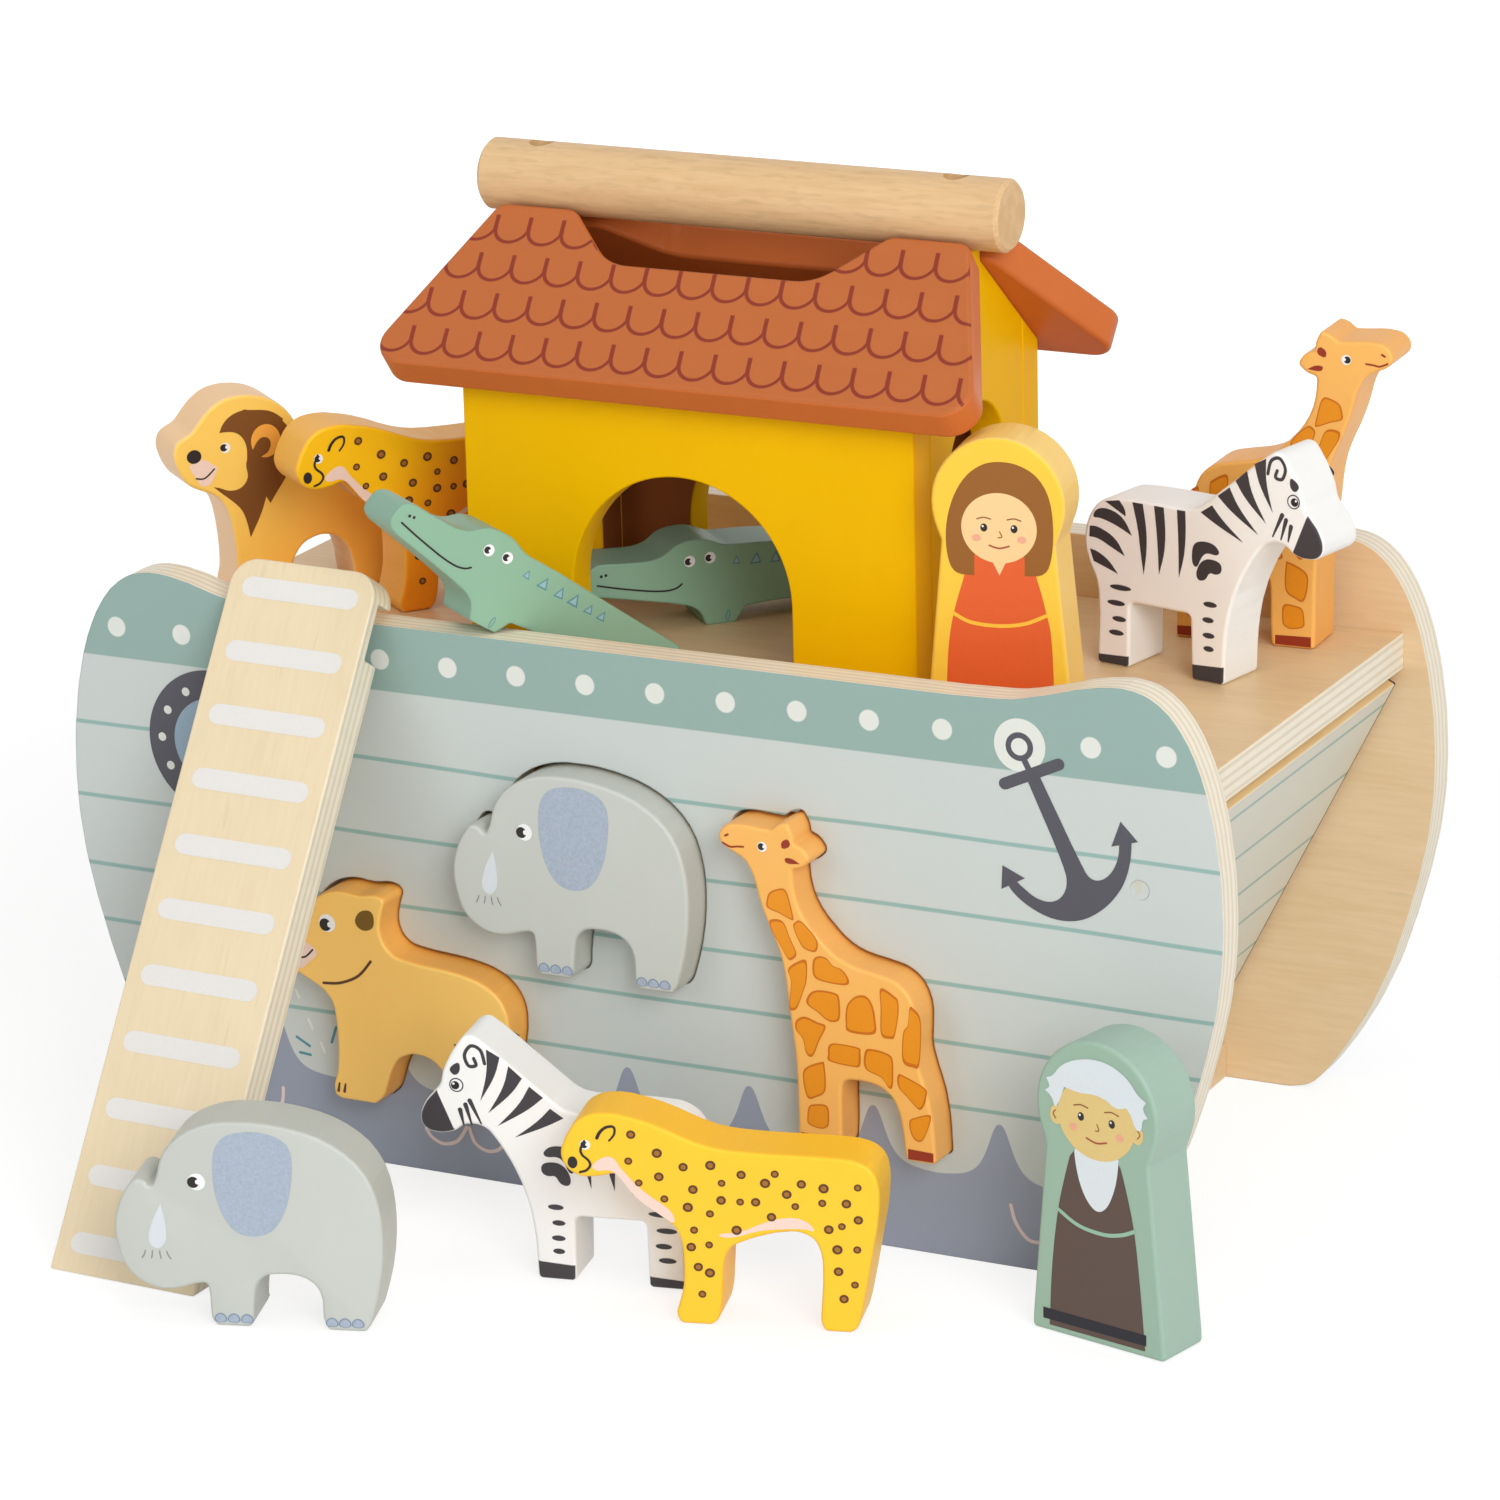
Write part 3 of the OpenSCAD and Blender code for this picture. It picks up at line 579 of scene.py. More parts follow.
# prints of the figures: lists of (layer, colour, outline) in a figure's own x and z
EAR_BLUE, TOE_LINE, TUSK_WHITE, BRISTLE = (169, 181, 197), (130, 146, 172), (217, 223, 228), (138, 141, 140)
SPOT_DARK, SPOT_BROWN, CHEEK_PINK = (92, 58, 36), (166, 110, 46), (243, 214, 200)
LION_EAR, OLIVE, MANE = (244, 172, 72), (118, 88, 30), (124, 76, 32)
PATCH, PATCH_RIM, HOOF = (234, 148, 30), (206, 112, 26), (150, 52, 30)
ROBE, BELT_GREEN, HEM, WHITE_HAIR = (91, 74, 66), (150, 190, 165), (36, 35, 42), (222, 230, 234)
DRESS, BELT_YELLOW, HAIR = (227, 97, 45), (252, 196, 60), (148, 93, 34)
SKIN_LIGHT, SKIN_WARM, BROW = (248, 208, 150), (226, 198, 130), (150, 92, 52)
BLUSH, LIPS = (236, 172, 140), (170, 84, 56)
CROC_SPIKE, CROC_LINE = (152, 192, 196), (100, 148, 154)


def eye(x, z, white, black, dx, dz):
    return [(1, WHITE_INK, oval(x, z, white)), (2, BLACK_INK, oval(x + dx, z + dz, black)),
            (3, WHITE_INK, oval(x + dx + black * 0.82, z + dz + black * 0.1, black * 0.45))]


# toenails: layer, colour, half width, and heights of the foot, the sides and the top
TOES = (1, TOE_LINE, 2, 1.3, 3.4, 4.6), (2, EAR_BLUE, 1.6, 1.5, 3.2, 4.2)


def elephant_print():
    marks = [
        (1, EAR_BLUE, soft([
            (-21.6, 55.5), (-17.9, 61.5), (-10.5, 63.2), (-3.1, 62.6), (2.7, 59.3), (3.5, 51.2), (1.2, 39), (-3.4, 31),
            (-10.2, 28.9), (-16.6, 31.2), (-21.2, 41)])),
        *eye(-26.4, 46.4, 2.7, 1.8, -1.1, -0.2),
        (1, TUSK_WHITE, soft([(-37.9, 39, 2), (-36.5, 32), (-36.7, 26.4), (-39.8, 23.8), (-42.7, 26.6), (-41, 33)]))]
    for x, dx in ((-43.4, -1.1), (-41.2, -0.4), (-39, 0.4), (-36.8, 1.2)):
        marks.append((2, BRISTLE, stroke([(x, 23.6), (x + dx * 0.4, 22.2), (x + dx, 21.2)], 0.34)))
    for x in (-21.1, -17, -12.9, 13.3, 17.3, 21.3):
        for layer, colour, half, low, side, top in TOES:
            near = half - 0.1
            marks.append((layer, colour, soft([
                (x - half, low), (x - near, side), (x, top), (x + near, side), (x + half, low)])))
    return marks


# two points on the coat's edge, the tip, and a sideways bend
ZEBRA_STRIPES = (
    ((-36.5, 72.6), (-33.2, 70.8), (-39.4, 56), 1.2), ((-29.6, 67.6), (-26.3, 64.7), (-37, 52.2), 1.4),
    ((-23.2, 61.5), (-19.8, 58.9), (-34.2, 48.2), 1.4), ((-16.8, 54.9), (-13.5, 52.7), (-28.8, 44.9), 1.0))
# flank and rump stripes, shoulder marks and the brow
ZEBRA_MARKS = (
    ((12.3, 51.9, 2), (8.4, 51.9, 2), (7, 43.6), (7, 36.6), (8.2, 29, 2), (9.4, 36.6), (10.2, 43.6)),
    ((4.2, 51.9, 2), (0.6, 51.9, 2), (-0.1, 44), (0.4, 37), (2.5, 29.9, 2), (2.8, 37), (3.3, 44)),
    ((-4.3, 51.9, 2), (-7.4, 51.9, 2), (-7.6, 44), (-6.9, 37), (-4.9, 30, 2), (-4.9, 37), (-4.7, 44)),
    ((22.6, 50.8, 2), (17.2, 51.8, 2), (15, 49.2), (14.8, 46.9, 2), (19, 49)),
    ((26.2, 47.6), (22.7, 48.7), (18.4, 47.8), (15.2, 45.8), (12.5, 41, 2), (18.6, 43.7), (24.5, 45.2), (27.4, 44.8)),
    ((28.4, 42, 2), (25.3, 42.3), (18.6, 39.5), (15.2, 34, 2), (20.3, 36.2), (25.4, 38.5), (28.6, 38.5, 2)),
    ((28.4, 34.6, 2), (25.4, 34.1), (21.2, 31.8), (17.8, 27.8, 2), (22.9, 29.5), (27, 30.7, 2)),
    ((-10.4, 42), (-13.4, 43.3), (-17.8, 43), (-20.2, 40.6), (-19, 39.2), (-15.2, 39.8), (-13.2, 37.9), (-11.8, 34.4),
     (-10, 35), (-9.7, 38.6)),
    ((-13.6, 36.9), (-16.2, 38), (-20.5, 37.3), (-20.9, 34.3), (-18.8, 33), (-16.2, 33.6), (-14.9, 30.9), (-12.3, 30.2),
     (-11.2, 32), (-12, 34.9)),
    ((-45.6, 68.2), (-47.7, 67.2), (-49.2, 65.4), (-47.4, 63.4), (-45.5, 65)))
# short bars on the legs: middle and half length
ZEBRA_BARS = (
    (16.9, 23.5, 4.0), (18.6, 18.3, 3.3), (17.5, 13.2, 2.6), (18.6, 8.6, 2.8), (-16.5, 23.2, 2.5), (-15.7, 18.1, 2.1),
    (-15.9, 13.1, 2.2), (-15.9, 8.8, 1.9))
ZEBRA_CHEEK = ((-42.8, 55.8), (-39.4, 48.6)), ((-44.2, 54.4), (-42.4, 48)), ((-46, 52.6), (-45, 47.8))
ZEBRA_EAR = (-37.6, 68.2), (-38.8, 72.4), (-41.8, 73.6), (-43.9, 70.6), (-42.8, 67.2), (-40.4, 67.4), (-41, 69.6)


def zebra_print():
    marks = [(1, STRIPE_INK, wedge(*stripe)) for stripe in ZEBRA_STRIPES]
    marks += [(1, STRIPE_INK, soft(outline, 2)) for outline in ZEBRA_MARKS]
    marks += [(1, STRIPE_INK, oval(x, z, half, 0.9, count=20)) for x, z, half in ZEBRA_BARS]
    marks += [(1, STRIPE_INK, oval(-46.9, 60.6, 2.3)), (2, WHITE_INK, oval(-46.9, 60.6, 1.9)),
              (3, BLACK_INK, oval(-47.3, 60.5, 1.35)), (4, WHITE_INK, oval(-47.8, 61, 0.4)),
              (1, STRIPE_INK, stroke(ZEBRA_EAR, 1.1))]
    return marks + [(1, STRIPE_INK, stroke(line, 1.5, 0.35)) for line in ZEBRA_CHEEK]


# x of the cheetah's spots and pale parts, less its own x
CHEETAH_SHIFT = 22
CHEETAH_SPOTS = (
    (-18.5, 60), (-10.7, 54.5), (-19.5, 51.5), (-10.3, 47), (-16.5, 44.7), (-2.8, 50.5), (5.5, 51.5), (-8.8, 40),
    (0, 43.5), (8.8, 46), (14.8, 49), (-1.7, 37.7), (5, 36), (8.5, 40.5), (14.3, 40.3), (19, 40.5), (22, 46.7),
    (25, 49.8), (28.5, 43.5), (31, 39.8), (33, 47), (39.7, 46), (39.2, 41.3), (46.5, 41.5), (50, 46.8), (23.7, 36),
    (13, 31.2), (0, 30.5), (-1, 25), (4.5, 26), (1, 18.7), (4.5, 17), (2, 10), (41, 33), (45, 34.2), (50, 36.5),
    (43.5, 26.7), (49.5, 27), (43.7, 19.7), (48.6, 15.7), (45.2, 11))
SPOT_SIZES = (1.45, 1.6, 1.25, 1.5, 1.2)
CHEETAH_TEAR = (-54.8, 57.2), (-56, 54.5), (-55.5, 52.7), (-53.8, 51.2), (-53.2, 49.6), (-54.4, 47.9), (-56.4, 47.2)
CHEETAH_EAR = (-50.9, 58.4), (-50, 60.2), (-48.3, 61.8), (-46.2, 62.3), (-45.4, 61.5), (-45.7, 59.6), (-47.2, 57.7)
CHEETAH_PALE = (
    ((-31.2, 49.4), (-27, 52.6), (-24, 52.6), (-22, 49), (-15, 41.6), (-6.6, 36.6), (-5.4, 31.6), (-10, 34.6),
     (-17.4, 39.6), (-21.4, 45), (-24.6, 48.6), (-29.6, 47.6)),
    ((7.2, 29.8), (14, 30.4), (22, 34.5), (30, 36.5), (35, 35), (37.2, 31.8), (34, 32.8), (28, 32.4), (20, 31.6),
     (12, 28.6), (8, 28.6)))


def cheetah_print():
    marks = [(1, CHEEK_PINK, soft([(x - CHEETAH_SHIFT, z) for x, z in part])) for part in CHEETAH_PALE]
    for i, (x, z) in enumerate(CHEETAH_SPOTS):
        size = SPOT_SIZES[i % len(SPOT_SIZES)]
        marks.append((2, SPOT_DARK, oval(x - CHEETAH_SHIFT, z, size, size * 0.94, 20, 18)))
        marks.append((3, SPOT_BROWN, oval(x - CHEETAH_SHIFT, z, size * 0.55, size * 0.52, 0, 14)))
    return marks + [
        (4, BLACK_INK, oval(-58.6, 50.2, 1.5, 1.9)),
        *eye(-54.6, 56, 1.6, 1.1, -0.3, 0),
        (4, BLACK_INK, stroke(CHEETAH_TEAR, 0.75)), (4, BLACK_INK, stroke(CHEETAH_EAR, 1.05, 0.55))]


def lion_print():
    return [
        (1, MANE, soft([
            (-33.6, 58.1, 2), (-32.2, 61.3), (-29, 63.9), (-24.4, 65, 2), (-23.4, 64.6), (-17.4, 64), (-14.2, 62.6),
            (-11.4, 60.2, 2), (-11.9, 59.8), (-9.6, 57.2), (-8.2, 52.6), (-9, 46.3), (-11.2, 40.6), (-15, 35.6),
            (-17.2, 32.3, 2), (-18.5, 34.8, 2), (-20.4, 29.3), (-24.6, 21.6, 2), (-25.2, 25.7), (-26.7, 30.9),
            (-29.5, 34.1), (-33.6, 37.6), (-36.4, 40.2, 2), (-34.3, 39.7), (-31.6, 38.3), (-28, 38.2), (-25.4, 40),
            (-24.3, 42.7), (-25.1, 46), (-24.4, 48.4), (-24.4, 52.7), (-25.7, 55.7), (-27.7, 57.5), (-30.6, 58.2)], 2)),
        (2, LION_EAR, oval(-17.8, 53.6, 5.1, 5.6)),
        (3, MANE, soft([
            (-22.6, 51), (-19.9, 55), (-17, 54.8), (-15.9, 52.7), (-16.8, 50), (-18.7, 48.8), (-21.8, 47.6),
            (-23, 48.6)])),
        (1, CHEEK_PINK, soft([
            (-44.6, 48.7), (-44, 46.7), (-42.2, 43.8), (-41, 41.2), (-39.5, 40.8), (-37.3, 41.2), (-35.7, 44.2),
            (-34.5, 46.9), (-36.2, 47.6), (-38.3, 49.5), (-40.4, 50.1), (-41.9, 48.9)])),
        (2, BLACK_INK, oval(-42.6, 51.2, 2.5, 2.3)),
        *eye(-31.8, 52.9, 1.75, 1.25, -0.5, 0.1),
        (2, BLACK_INK, stroke([(-42.2, 43.8), (-39.3, 43.6), (-35.9, 46.3)], 0.55))]


def lioness_print():
    marks = [
        *eye(-29.6, 59.2, 3.0, 2.1, -0.7, -0.6),
        (1, OLIVE, soft([(-19.7, 61.6), (-17.2, 65.2), (-12.6, 65.6), (-12.2, 60), (-15.6, 58.2), (-18.4, 59)])),
        (1, CHEEK_PINK, soft([
            (-40.6, 52.6), (-37.3, 51.7), (-34.1, 49.7), (-33.6, 48), (-37.6, 44.5), (-39.7, 42.4), (-41.4, 43.4),
            (-41.4, 47)])),
        (2, BLACK_INK, stroke([(-41.2, 46.3), (-38.2, 46.8), (-35.4, 49.5)], 0.6)),
        (2, BLACK_INK, oval(-41.4, 56, 1.3, 1.4)),
        (2, SPOT_DARK, stroke([(-31.9, 38.8), (-25.6, 39.7), (-19, 42.9), (-14.2, 48.4)], 0.9))]
    marks += [(2, SPOT_DARK, stroke([(x + 0.3, 5.4), (x - 0.2, 2.8)], 0.6, 1.7)) for x in (-28, -25.8)]
    return marks + [(2, SPOT_DARK, stroke([(15.2, 24.6), (17, 23.9), (20.3, 26.9)], 0.6))]


GIRAFFE_PATCHES = (
    ((-28.2, 82.7), (-32.2, 81), (-33.4, 77.9), (-33.1, 75.8), (-29.3, 74.6), (-25.2, 73), (-24.4, 73.7), (-25.7, 79.5),
     (-26.6, 81.9)),
    ((-32.2, 72.1), (-28.1, 72.1), (-25.7, 67), (-23.7, 62.6), (-24.5, 60.6), (-26.5, 60.1), (-29.3, 64.6),
     (-32.3, 69.5)),
    ((-23.5, 72.7), (-21.8, 72.9), (-18.2, 69.8), (-16.3, 66.6), (-17.2, 63.7), (-20.8, 64.2), (-22.6, 66.3),
     (-24.5, 70.8)),
    ((-26.6, 56.8), (-23.4, 59.7), (-20.3, 60.4), (-20.4, 54.1), (-21.8, 49.8), (-23.8, 44.7), (-25.7, 43.6),
     (-26.5, 44.9), (-25.7, 52.8)),
    ((-18, 61), (-15.9, 62.5), (-13.4, 62.1), (-11.3, 60), (-8.3, 59.2), (-6, 56.1), (-7.4, 54.3), (-14.8, 54.5),
     (-18, 56)),
    ((-19.3, 50.1), (-16.1, 51.5), (-10.8, 51.3), (-9.4, 49.7), (-9.3, 43.8), (-10.7, 42), (-13.5, 42), (-16.9, 44.3),
     (-20.6, 46.7)),
    ((-6.2, 49), (-3.7, 51.3), (-0.6, 51.8), (1.6, 49.5), (2.7, 44.3), (2, 39.8), (-6.4, 39.4), (-7.4, 42.3),
     (-7.2, 46.5)),
    ((4.6, 55), (9.3, 53), (10.4, 51.4), (10.4, 47.2), (9, 40.1), (7.5, 39.1), (4.5, 40.1), (4.5, 48.7)),
    ((14.2, 50), (15.5, 50), (17.6, 47.6), (18, 41.8), (17.1, 31.9), (15, 30.9), (11.6, 32.5), (11.9, 41.5),
     (13.5, 44.3)),
    ((-24.2, 40.6), (-21.3, 42.2), (-17, 41), (-14.2, 40), (-16.5, 35), (-18.5, 30.2), (-20, 29.4), (-21.3, 30.9),
     (-22.1, 34.8), (-24.4, 37.5)),
    ((-13.3, 33.9), (-10.9, 35), (-3.4, 34.7), (-2.6, 33.2), (-2.8, 29.1), (-4.8, 28.2), (-13.1, 28.9), (-13.6, 31.2)),
    ((-1, 33.9), (1.5, 34.9), (6.7, 34.1), (8.3, 31.8), (8.1, 24), (6.7, 23.1), (4.3, 26.1), (-1.1, 28.3)),
    ((-21.7, 25.2), (-16, 28.2), (-14.9, 27.2), (-14.8, 19.1), (-18.2, 16.3), (-20.8, 15.8), (-22.2, 20.4)),
    ((9.8, 27.4), (11.5, 27.9), (18.9, 24.7), (19.4, 22.2), (18.3, 18.6), (16.6, 17.6), (13.1, 20.8), (10, 23.9)),
    ((-20.5, 13), (-18.6, 14), (-14.2, 14), (-13.8, 8.5), (-15, 6.8), (-17.1, 6.3), (-20.8, 7.3), (-21.1, 10.1)),
    ((13.7, 13.6), (16.2, 15), (20, 16.3), (20.8, 15.2), (19.7, 11.5), (18, 7.8), (16.5, 7), (14.8, 7.9), (13.6, 10.7)))


def giraffe_print():
    marks = []
    for patch in GIRAFFE_PATCHES:
        outline = loop(patch)
        marks += [(1, PATCH_RIM, outline), (2, PATCH, grown(outline, 0.88))]
    for left, right in ((-23.3, -11.4), (12.9, 21.4)):
        marks.append((1, HOOF, [(left, 0.8), (right, 0.9), (right, 3.9), (left, 4.2)]))
    return marks + [
        *eye(-34.5, 95.2, 1.6, 1.15, -0.3, 0),
        (1, HOOF, soft([(-28.1, 97.6), (-25.6, 99), (-24.7, 96.5), (-27.8, 95.1)], 1)),
        (1, HOOF, soft([(-27.2, 92.6), (-24.5, 92.8), (-21.8, 91.3, 2), (-26.4, 90.7)], 2)),
        (1, HOOF, stroke([(-47.9, 94.9), (-45.4, 93.9), (-43.1, 94.2), (-40.9, 94.4)], 0.6)),
        (1, HOOF, stroke([(-47, 97.2), (-46.1, 97.7)], 0.7))]


CROC_SPIKES = (
    ((4.4, 19.6), (5.8, 22.3), (7.1, 19.3)), ((10.2, 18.8), (12.9, 22.8), (14.3, 18.8)),
    ((17.2, 18.4), (19.3, 22.4), (20.9, 18.6)), ((22.5, 18.4), (25.2, 22.6), (26.9, 18.3)),
    ((29.2, 18.2), (31.3, 21.6), (32.6, 18.4)), ((34.4, 18.2), (36.5, 21.5), (37.7, 18.2)))
CROC_MOUTH = (-41.6, 17.5), (-35.5, 16.0), (-29, 14.6), (-23, 13.5), (-18.2, 13.1), (-14.9, 13.6), (-13, 14.8)


def crocodile_print():
    marks = eye(-10.2, 22.0, 1.9, 1.15, -0.5, -0.1) + eye(-3.2, 22.5, 1.9, 1.15, -0.5, -0.1)
    marks += [(1, BLACK_INK, oval(x, z, 0.5)) for x, z in ((-40.2, 20.4), (-38.6, 20.6))]
    marks.append((1, BLACK_INK, stroke(CROC_MOUTH, 0.6)))
    for spike in CROC_SPIKES:
        for layer, colour, size in ((1, CROC_LINE, 1.0), (2, CROC_SPIKE, 0.62)):
            marks.append((layer, colour, soft([p + (2,) for p in grown(spike, size)], 2)))
    return marks + [(1, CROC_LINE, oval(2.4, 2.5, 0.75, 1.9, -8)),
                    (2, KINDS["crocodile"][0], oval(2.4, 2.5, 0.4, 1.55, -8))]


def plain_face(x, z, wide, tall, skin):
    """a face of its own plain design: an oval head with the eyes halfway down"""
    def at(across, rise):
        return x + wide * across, z + tall * rise
    marks = [(3, skin, oval(x, z, wide, tall, count=48))]
    for side in (-1, 1):
        eye_x = x + side * wide * 0.4
        marks += [
            (4, BLACK_INK, oval(eye_x, z, 1.15, 1.35)), (5, WHITE_INK, oval(eye_x - 0.35, z + 0.45, 0.35)),
            (4, BROW, stroke([at(side * 0.58, 0.24), at(side * 0.4, 0.29), at(side * 0.22, 0.25)], 0.45)),
            (4, BLUSH, oval(*at(side * 0.6, -0.3), 1.5, 1.2))]
    return marks + [
        (4, BROW, stroke([(x + 0.2, z - tall * 0.1), (x + 0.9, z - tall * 0.24), (x - 0.3, z - tall * 0.27)], 0.4)),
        (4, LIPS, stroke([at(-0.26, -0.5), at(0, -0.57), at(0.26, -0.5)], 0.6))]


# a cap of hair with tufts over the ears and a parted fringe
MAN_HAIR = (
    (-14.8, 71.6), (-15.8, 75), (-18.4, 76.8, 2), (-16.4, 78.2), (-18, 80.8, 2), (-15.4, 81.8), (-13, 85.4), (-8, 88.4),
    (-1, 90.2), (6, 89.6), (12, 86.4), (15, 82.4), (18.2, 80.6, 2), (16.8, 78.4), (18.8, 75.8, 2), (16.8, 75),
    (16.6, 71.4), (14.4, 71.2), (12.6, 75.8), (11, 77.4, 2), (7.4, 76.2), (4, 78.2, 2), (0, 79.2), (-6, 78.4),
    (-11.4, 79.2, 2), (-12.8, 75))


def man_print():
    marks = [
        (1, ROBE, soft([
            (-17.6, 2.2, 2), (17.4, 2.2, 2), (15.8, 21), (13.8, 39.1), (10.8, 51.6), (7.6, 62), (-8.4, 62),
            (-11.6, 50.9), (-14.2, 40.2), (-16.6, 21.8)], 2)),
        (2, WHITE_HAIR, soft([
            (-8.2, 62.4), (-7.6, 56), (-5.8, 49), (-2.6, 43.8), (0.8, 42), (4.2, 44.6), (7, 51.6), (8, 58),
            (8.2, 62.4)])),
        (2, BELT_GREEN, stroke([(-14.1, 40), (-6.6, 36.5), (2.4, 35.7), (8.8, 37), (13.6, 39.2)], 1.2)),
        (2, HEM, [(-19.9, 3.9), (17.8, 3.9), (17.8, 7.4), (-19.9, 7.4)]),
        *plain_face(0.2, 71.2, 14.0, 12.6, SKIN_WARM)]
    for side in (-1, 1):
        x, z = 0.2 + side * 14.6, 69.8
        fold = [(x + side * 0.3, z + 1.4), (x + side * 1.1, z + 0.2), (x + side * 0.2, z - 1.1)]
        marks += [(2, SKIN_WARM, oval(x, z, 2.3, 3.0)), (4, BROW, stroke(fold, 0.4))]
    return marks + [(5, WHITE_HAIR, soft(MAN_HAIR, 2))]


def woman_print():
    return [
        (1, DRESS, soft([
            (-17.6, 2.4, 2), (18, 2.4, 2), (18.1, 13.7), (17.4, 31.5), (15.8, 38), (14.4, 44), (12.4, 50.6), (10, 60),
            (-9.4, 60), (-11, 49.4), (-12.6, 44.6), (-15, 36), (-16.6, 27), (-17.4, 13)], 2)),
        (2, HAIR, soft([
            (-7.8, 49.6, 2), (-14.4, 49.8), (-16.8, 55.5), (-17.2, 65), (-15, 74.5), (-10.7, 82.2), (-4.8, 86.6),
            (0.9, 87.6), (6.9, 86.9), (13, 83.6), (17, 77.2), (18.4, 68.1), (18, 57.5), (15.8, 50.6), (8.8, 50.2, 2),
            (8.8, 60), (-7.8, 60)], 2)),
        (2, BELT_YELLOW, stroke([(-14.8, 36.6), (-9, 33.9), (0.4, 33.2), (8.7, 34.4), (15.6, 37.4)], 1.2)),
        (2, SKIN_LIGHT, soft([(-3.6, 58, 2), (0.5, 50, 2), (4.4, 58, 2)], 2)),
        *plain_face(0.5, 65.6, 12.4, 11.6, SKIN_LIGHT)]


# each kind of figure: paint of its faces and of its sawn edges, slot and print
KINDS = {
    "elephant": ((199, 203, 196), (190, 192, 184), "grey_paint", elephant_print),
    "lioness": ((255, 206, 112), (246, 178, 84), "orange_paint", lioness_print),
    "giraffe": ((248, 186, 98), (244, 176, 92), "orange_paint", giraffe_print),
    "lion": ((255, 210, 100), (248, 206, 156), "orange_paint", lion_print),
    "cheetah": ((255, 204, 50), (255, 194, 44), "gold_paint", cheetah_print),
    "crocodile": ((143, 184, 157), (136, 174, 152), "sage_paint", crocodile_print),
    "woman": ((252, 204, 66), (250, 208, 116), "gold_paint", woman_print),
    "zebra": ((251, 250, 248), (243, 242, 239), "white_paint", zebra_print),
    "man": ((155, 185, 165), (160, 186, 170), "sage_paint", man_print),
}

# hull artwork that is drawn rather than shaded, in the side's own x and z
ANCHOR_CROWN = (
    (129.8, 123.7), (133.8, 119.5), (139.5, 116.2), (145.2, 114.4), (151.2, 114.4), (156.7, 116.2), (162.4, 120.4),
    (166.5, 125.4), (168.9, 130.1), (170.4, 135.8), (170.8, 142, 2), (166.8, 142, 2), (166.6, 136.5), (164.3, 131.4),
    (160.8, 128.5), (157.3, 128.6), (154.8, 132), (141.3, 158.6, 2), (137.1, 157.2, 2), (149.2, 131), (149.9, 125.5),
    (147.8, 121.3), (144.1, 119.5), (139.5, 120.3), (135.5, 123), (132.1, 125.8, 2))
# colour, width and lines of the foam
FOAM = (
    (FOAM_PINK, 1.2, (
        ((-74.8, 14.3), (-72.8, 11.6), (-68.6, 10), (-63.5, 11.7), (-60, 16.8)),
        ((-59, 16.7), (-57.1, 12), (-52.9, 9.9), (-48.7, 10.9), (-46, 14)),
        ((-127.6, 20.4), (-128.4, 15), (-132, 11), (-136, 10.6)),
        ((130.1, 20.1), (131.6, 14.8), (135.1, 10.2), (138.6, 9.2), (143, 10.6)),
        ((14, 12), (17, 8.6), (22, 8.4), (26, 13)))),
    (FOAM_TEAL, 0.9, (
        ((-121.6, 38.8), (-116.9, 36.3)), ((-120.6, 33.6), (-116.7, 33.3)), ((-106.7, 44.1), (-108.6, 38.7)))),
    (DOT_WHITE, 0.9, (
        ((-116.9, 45.5), (-115.5, 42.5)), ((-121.1, 54.9), (-120, 52.4)), ((-112.6, 38), (-111.4, 35)))))
PORTHOLE_X, PORTHOLE_Z, PORTHOLE_RADIUS, GLASS_RADIUS = -147.0, 134.8, 24.2, 14.8
RIVETS, RIVET_RADIUS, RIVET_RING_X, RIVET_RING_Z = 12, 1.45, 19.4, 18.6


def hull_marks(side):
    """anchor and foam on both sides, and a porthole on the front, side -1"""
    marks = [
        (1, DOT_WHITE, oval(134.7, 167.8, 8.4, count=40)),
        (2, ANCHOR_INK, stroke([(129.6, 155.2), (147.4, 163.4)], 3.7)),
        (4, ANCHOR_INK, stroke([(136.3, 163.2), (139, 158)], 2.0)),
        (3, ANCHOR_INK, soft(ANCHOR_CROWN, 2)),
        (2, ANCHOR_INK, soft([(128.6, 129.4, 2), (128.2, 121.8, 2), (136, 126.2, 2)])),
        (2, ANCHOR_INK, soft([(167.2, 148, 2), (164.2, 139.8, 2), (172.8, 142.3, 2)])),
        (2, ANCHOR_INK, oval(134.6, 167.4, 4.5)), (4, DOT_WHITE, oval(134.6, 167.4, 2.7))]
    marks += [(1, colour, stroke(line, width)) for colour, width, lines in FOAM for line in lines]
    if side > 0:
        return marks
    marks += [(1, ANCHOR_INK, oval(PORTHOLE_X, PORTHOLE_Z, PORTHOLE_RADIUS, count=64)),
              (2, GLASS_BLUE, oval(PORTHOLE_X, PORTHOLE_Z, GLASS_RADIUS, count=56))]
    for x, z in oval(PORTHOLE_X, PORTHOLE_Z, RIVET_RING_X, RIVET_RING_Z, count=RIVETS):
        marks.append((3, DOT_WHITE, oval(x, z, RIVET_RADIUS, count=18)))
    return marks


# height of a print above its face: a start, and a step for each layer
LAYER_START, LAYER_STEP = 0.04, 0.03
# how much an ink's value varies
SPECKLE, EAR_SPECKLE = 0.035, 0.2
INKS = {}


def ink_for(colour):
    """the material of a printed patch, made once for each colour"""
    if colour not in INKS:
        net = Net("ink_%02x%02x%02x" % colour, LACQUER)
        speckle = EAR_SPECKLE if colour == EAR_BLUE else SPECKLE
        INKS[colour] = net.done(net.shade(net.plain(colour), speckle, net.noise(1100.0, detail=2.0)))
    return INKS[colour]


def linked(name, data):
    """a new object in the scene"""
    thing = bpy.data.objects.new(name, data)
    bpy.context.collection.objects.link(thing)
    return thing


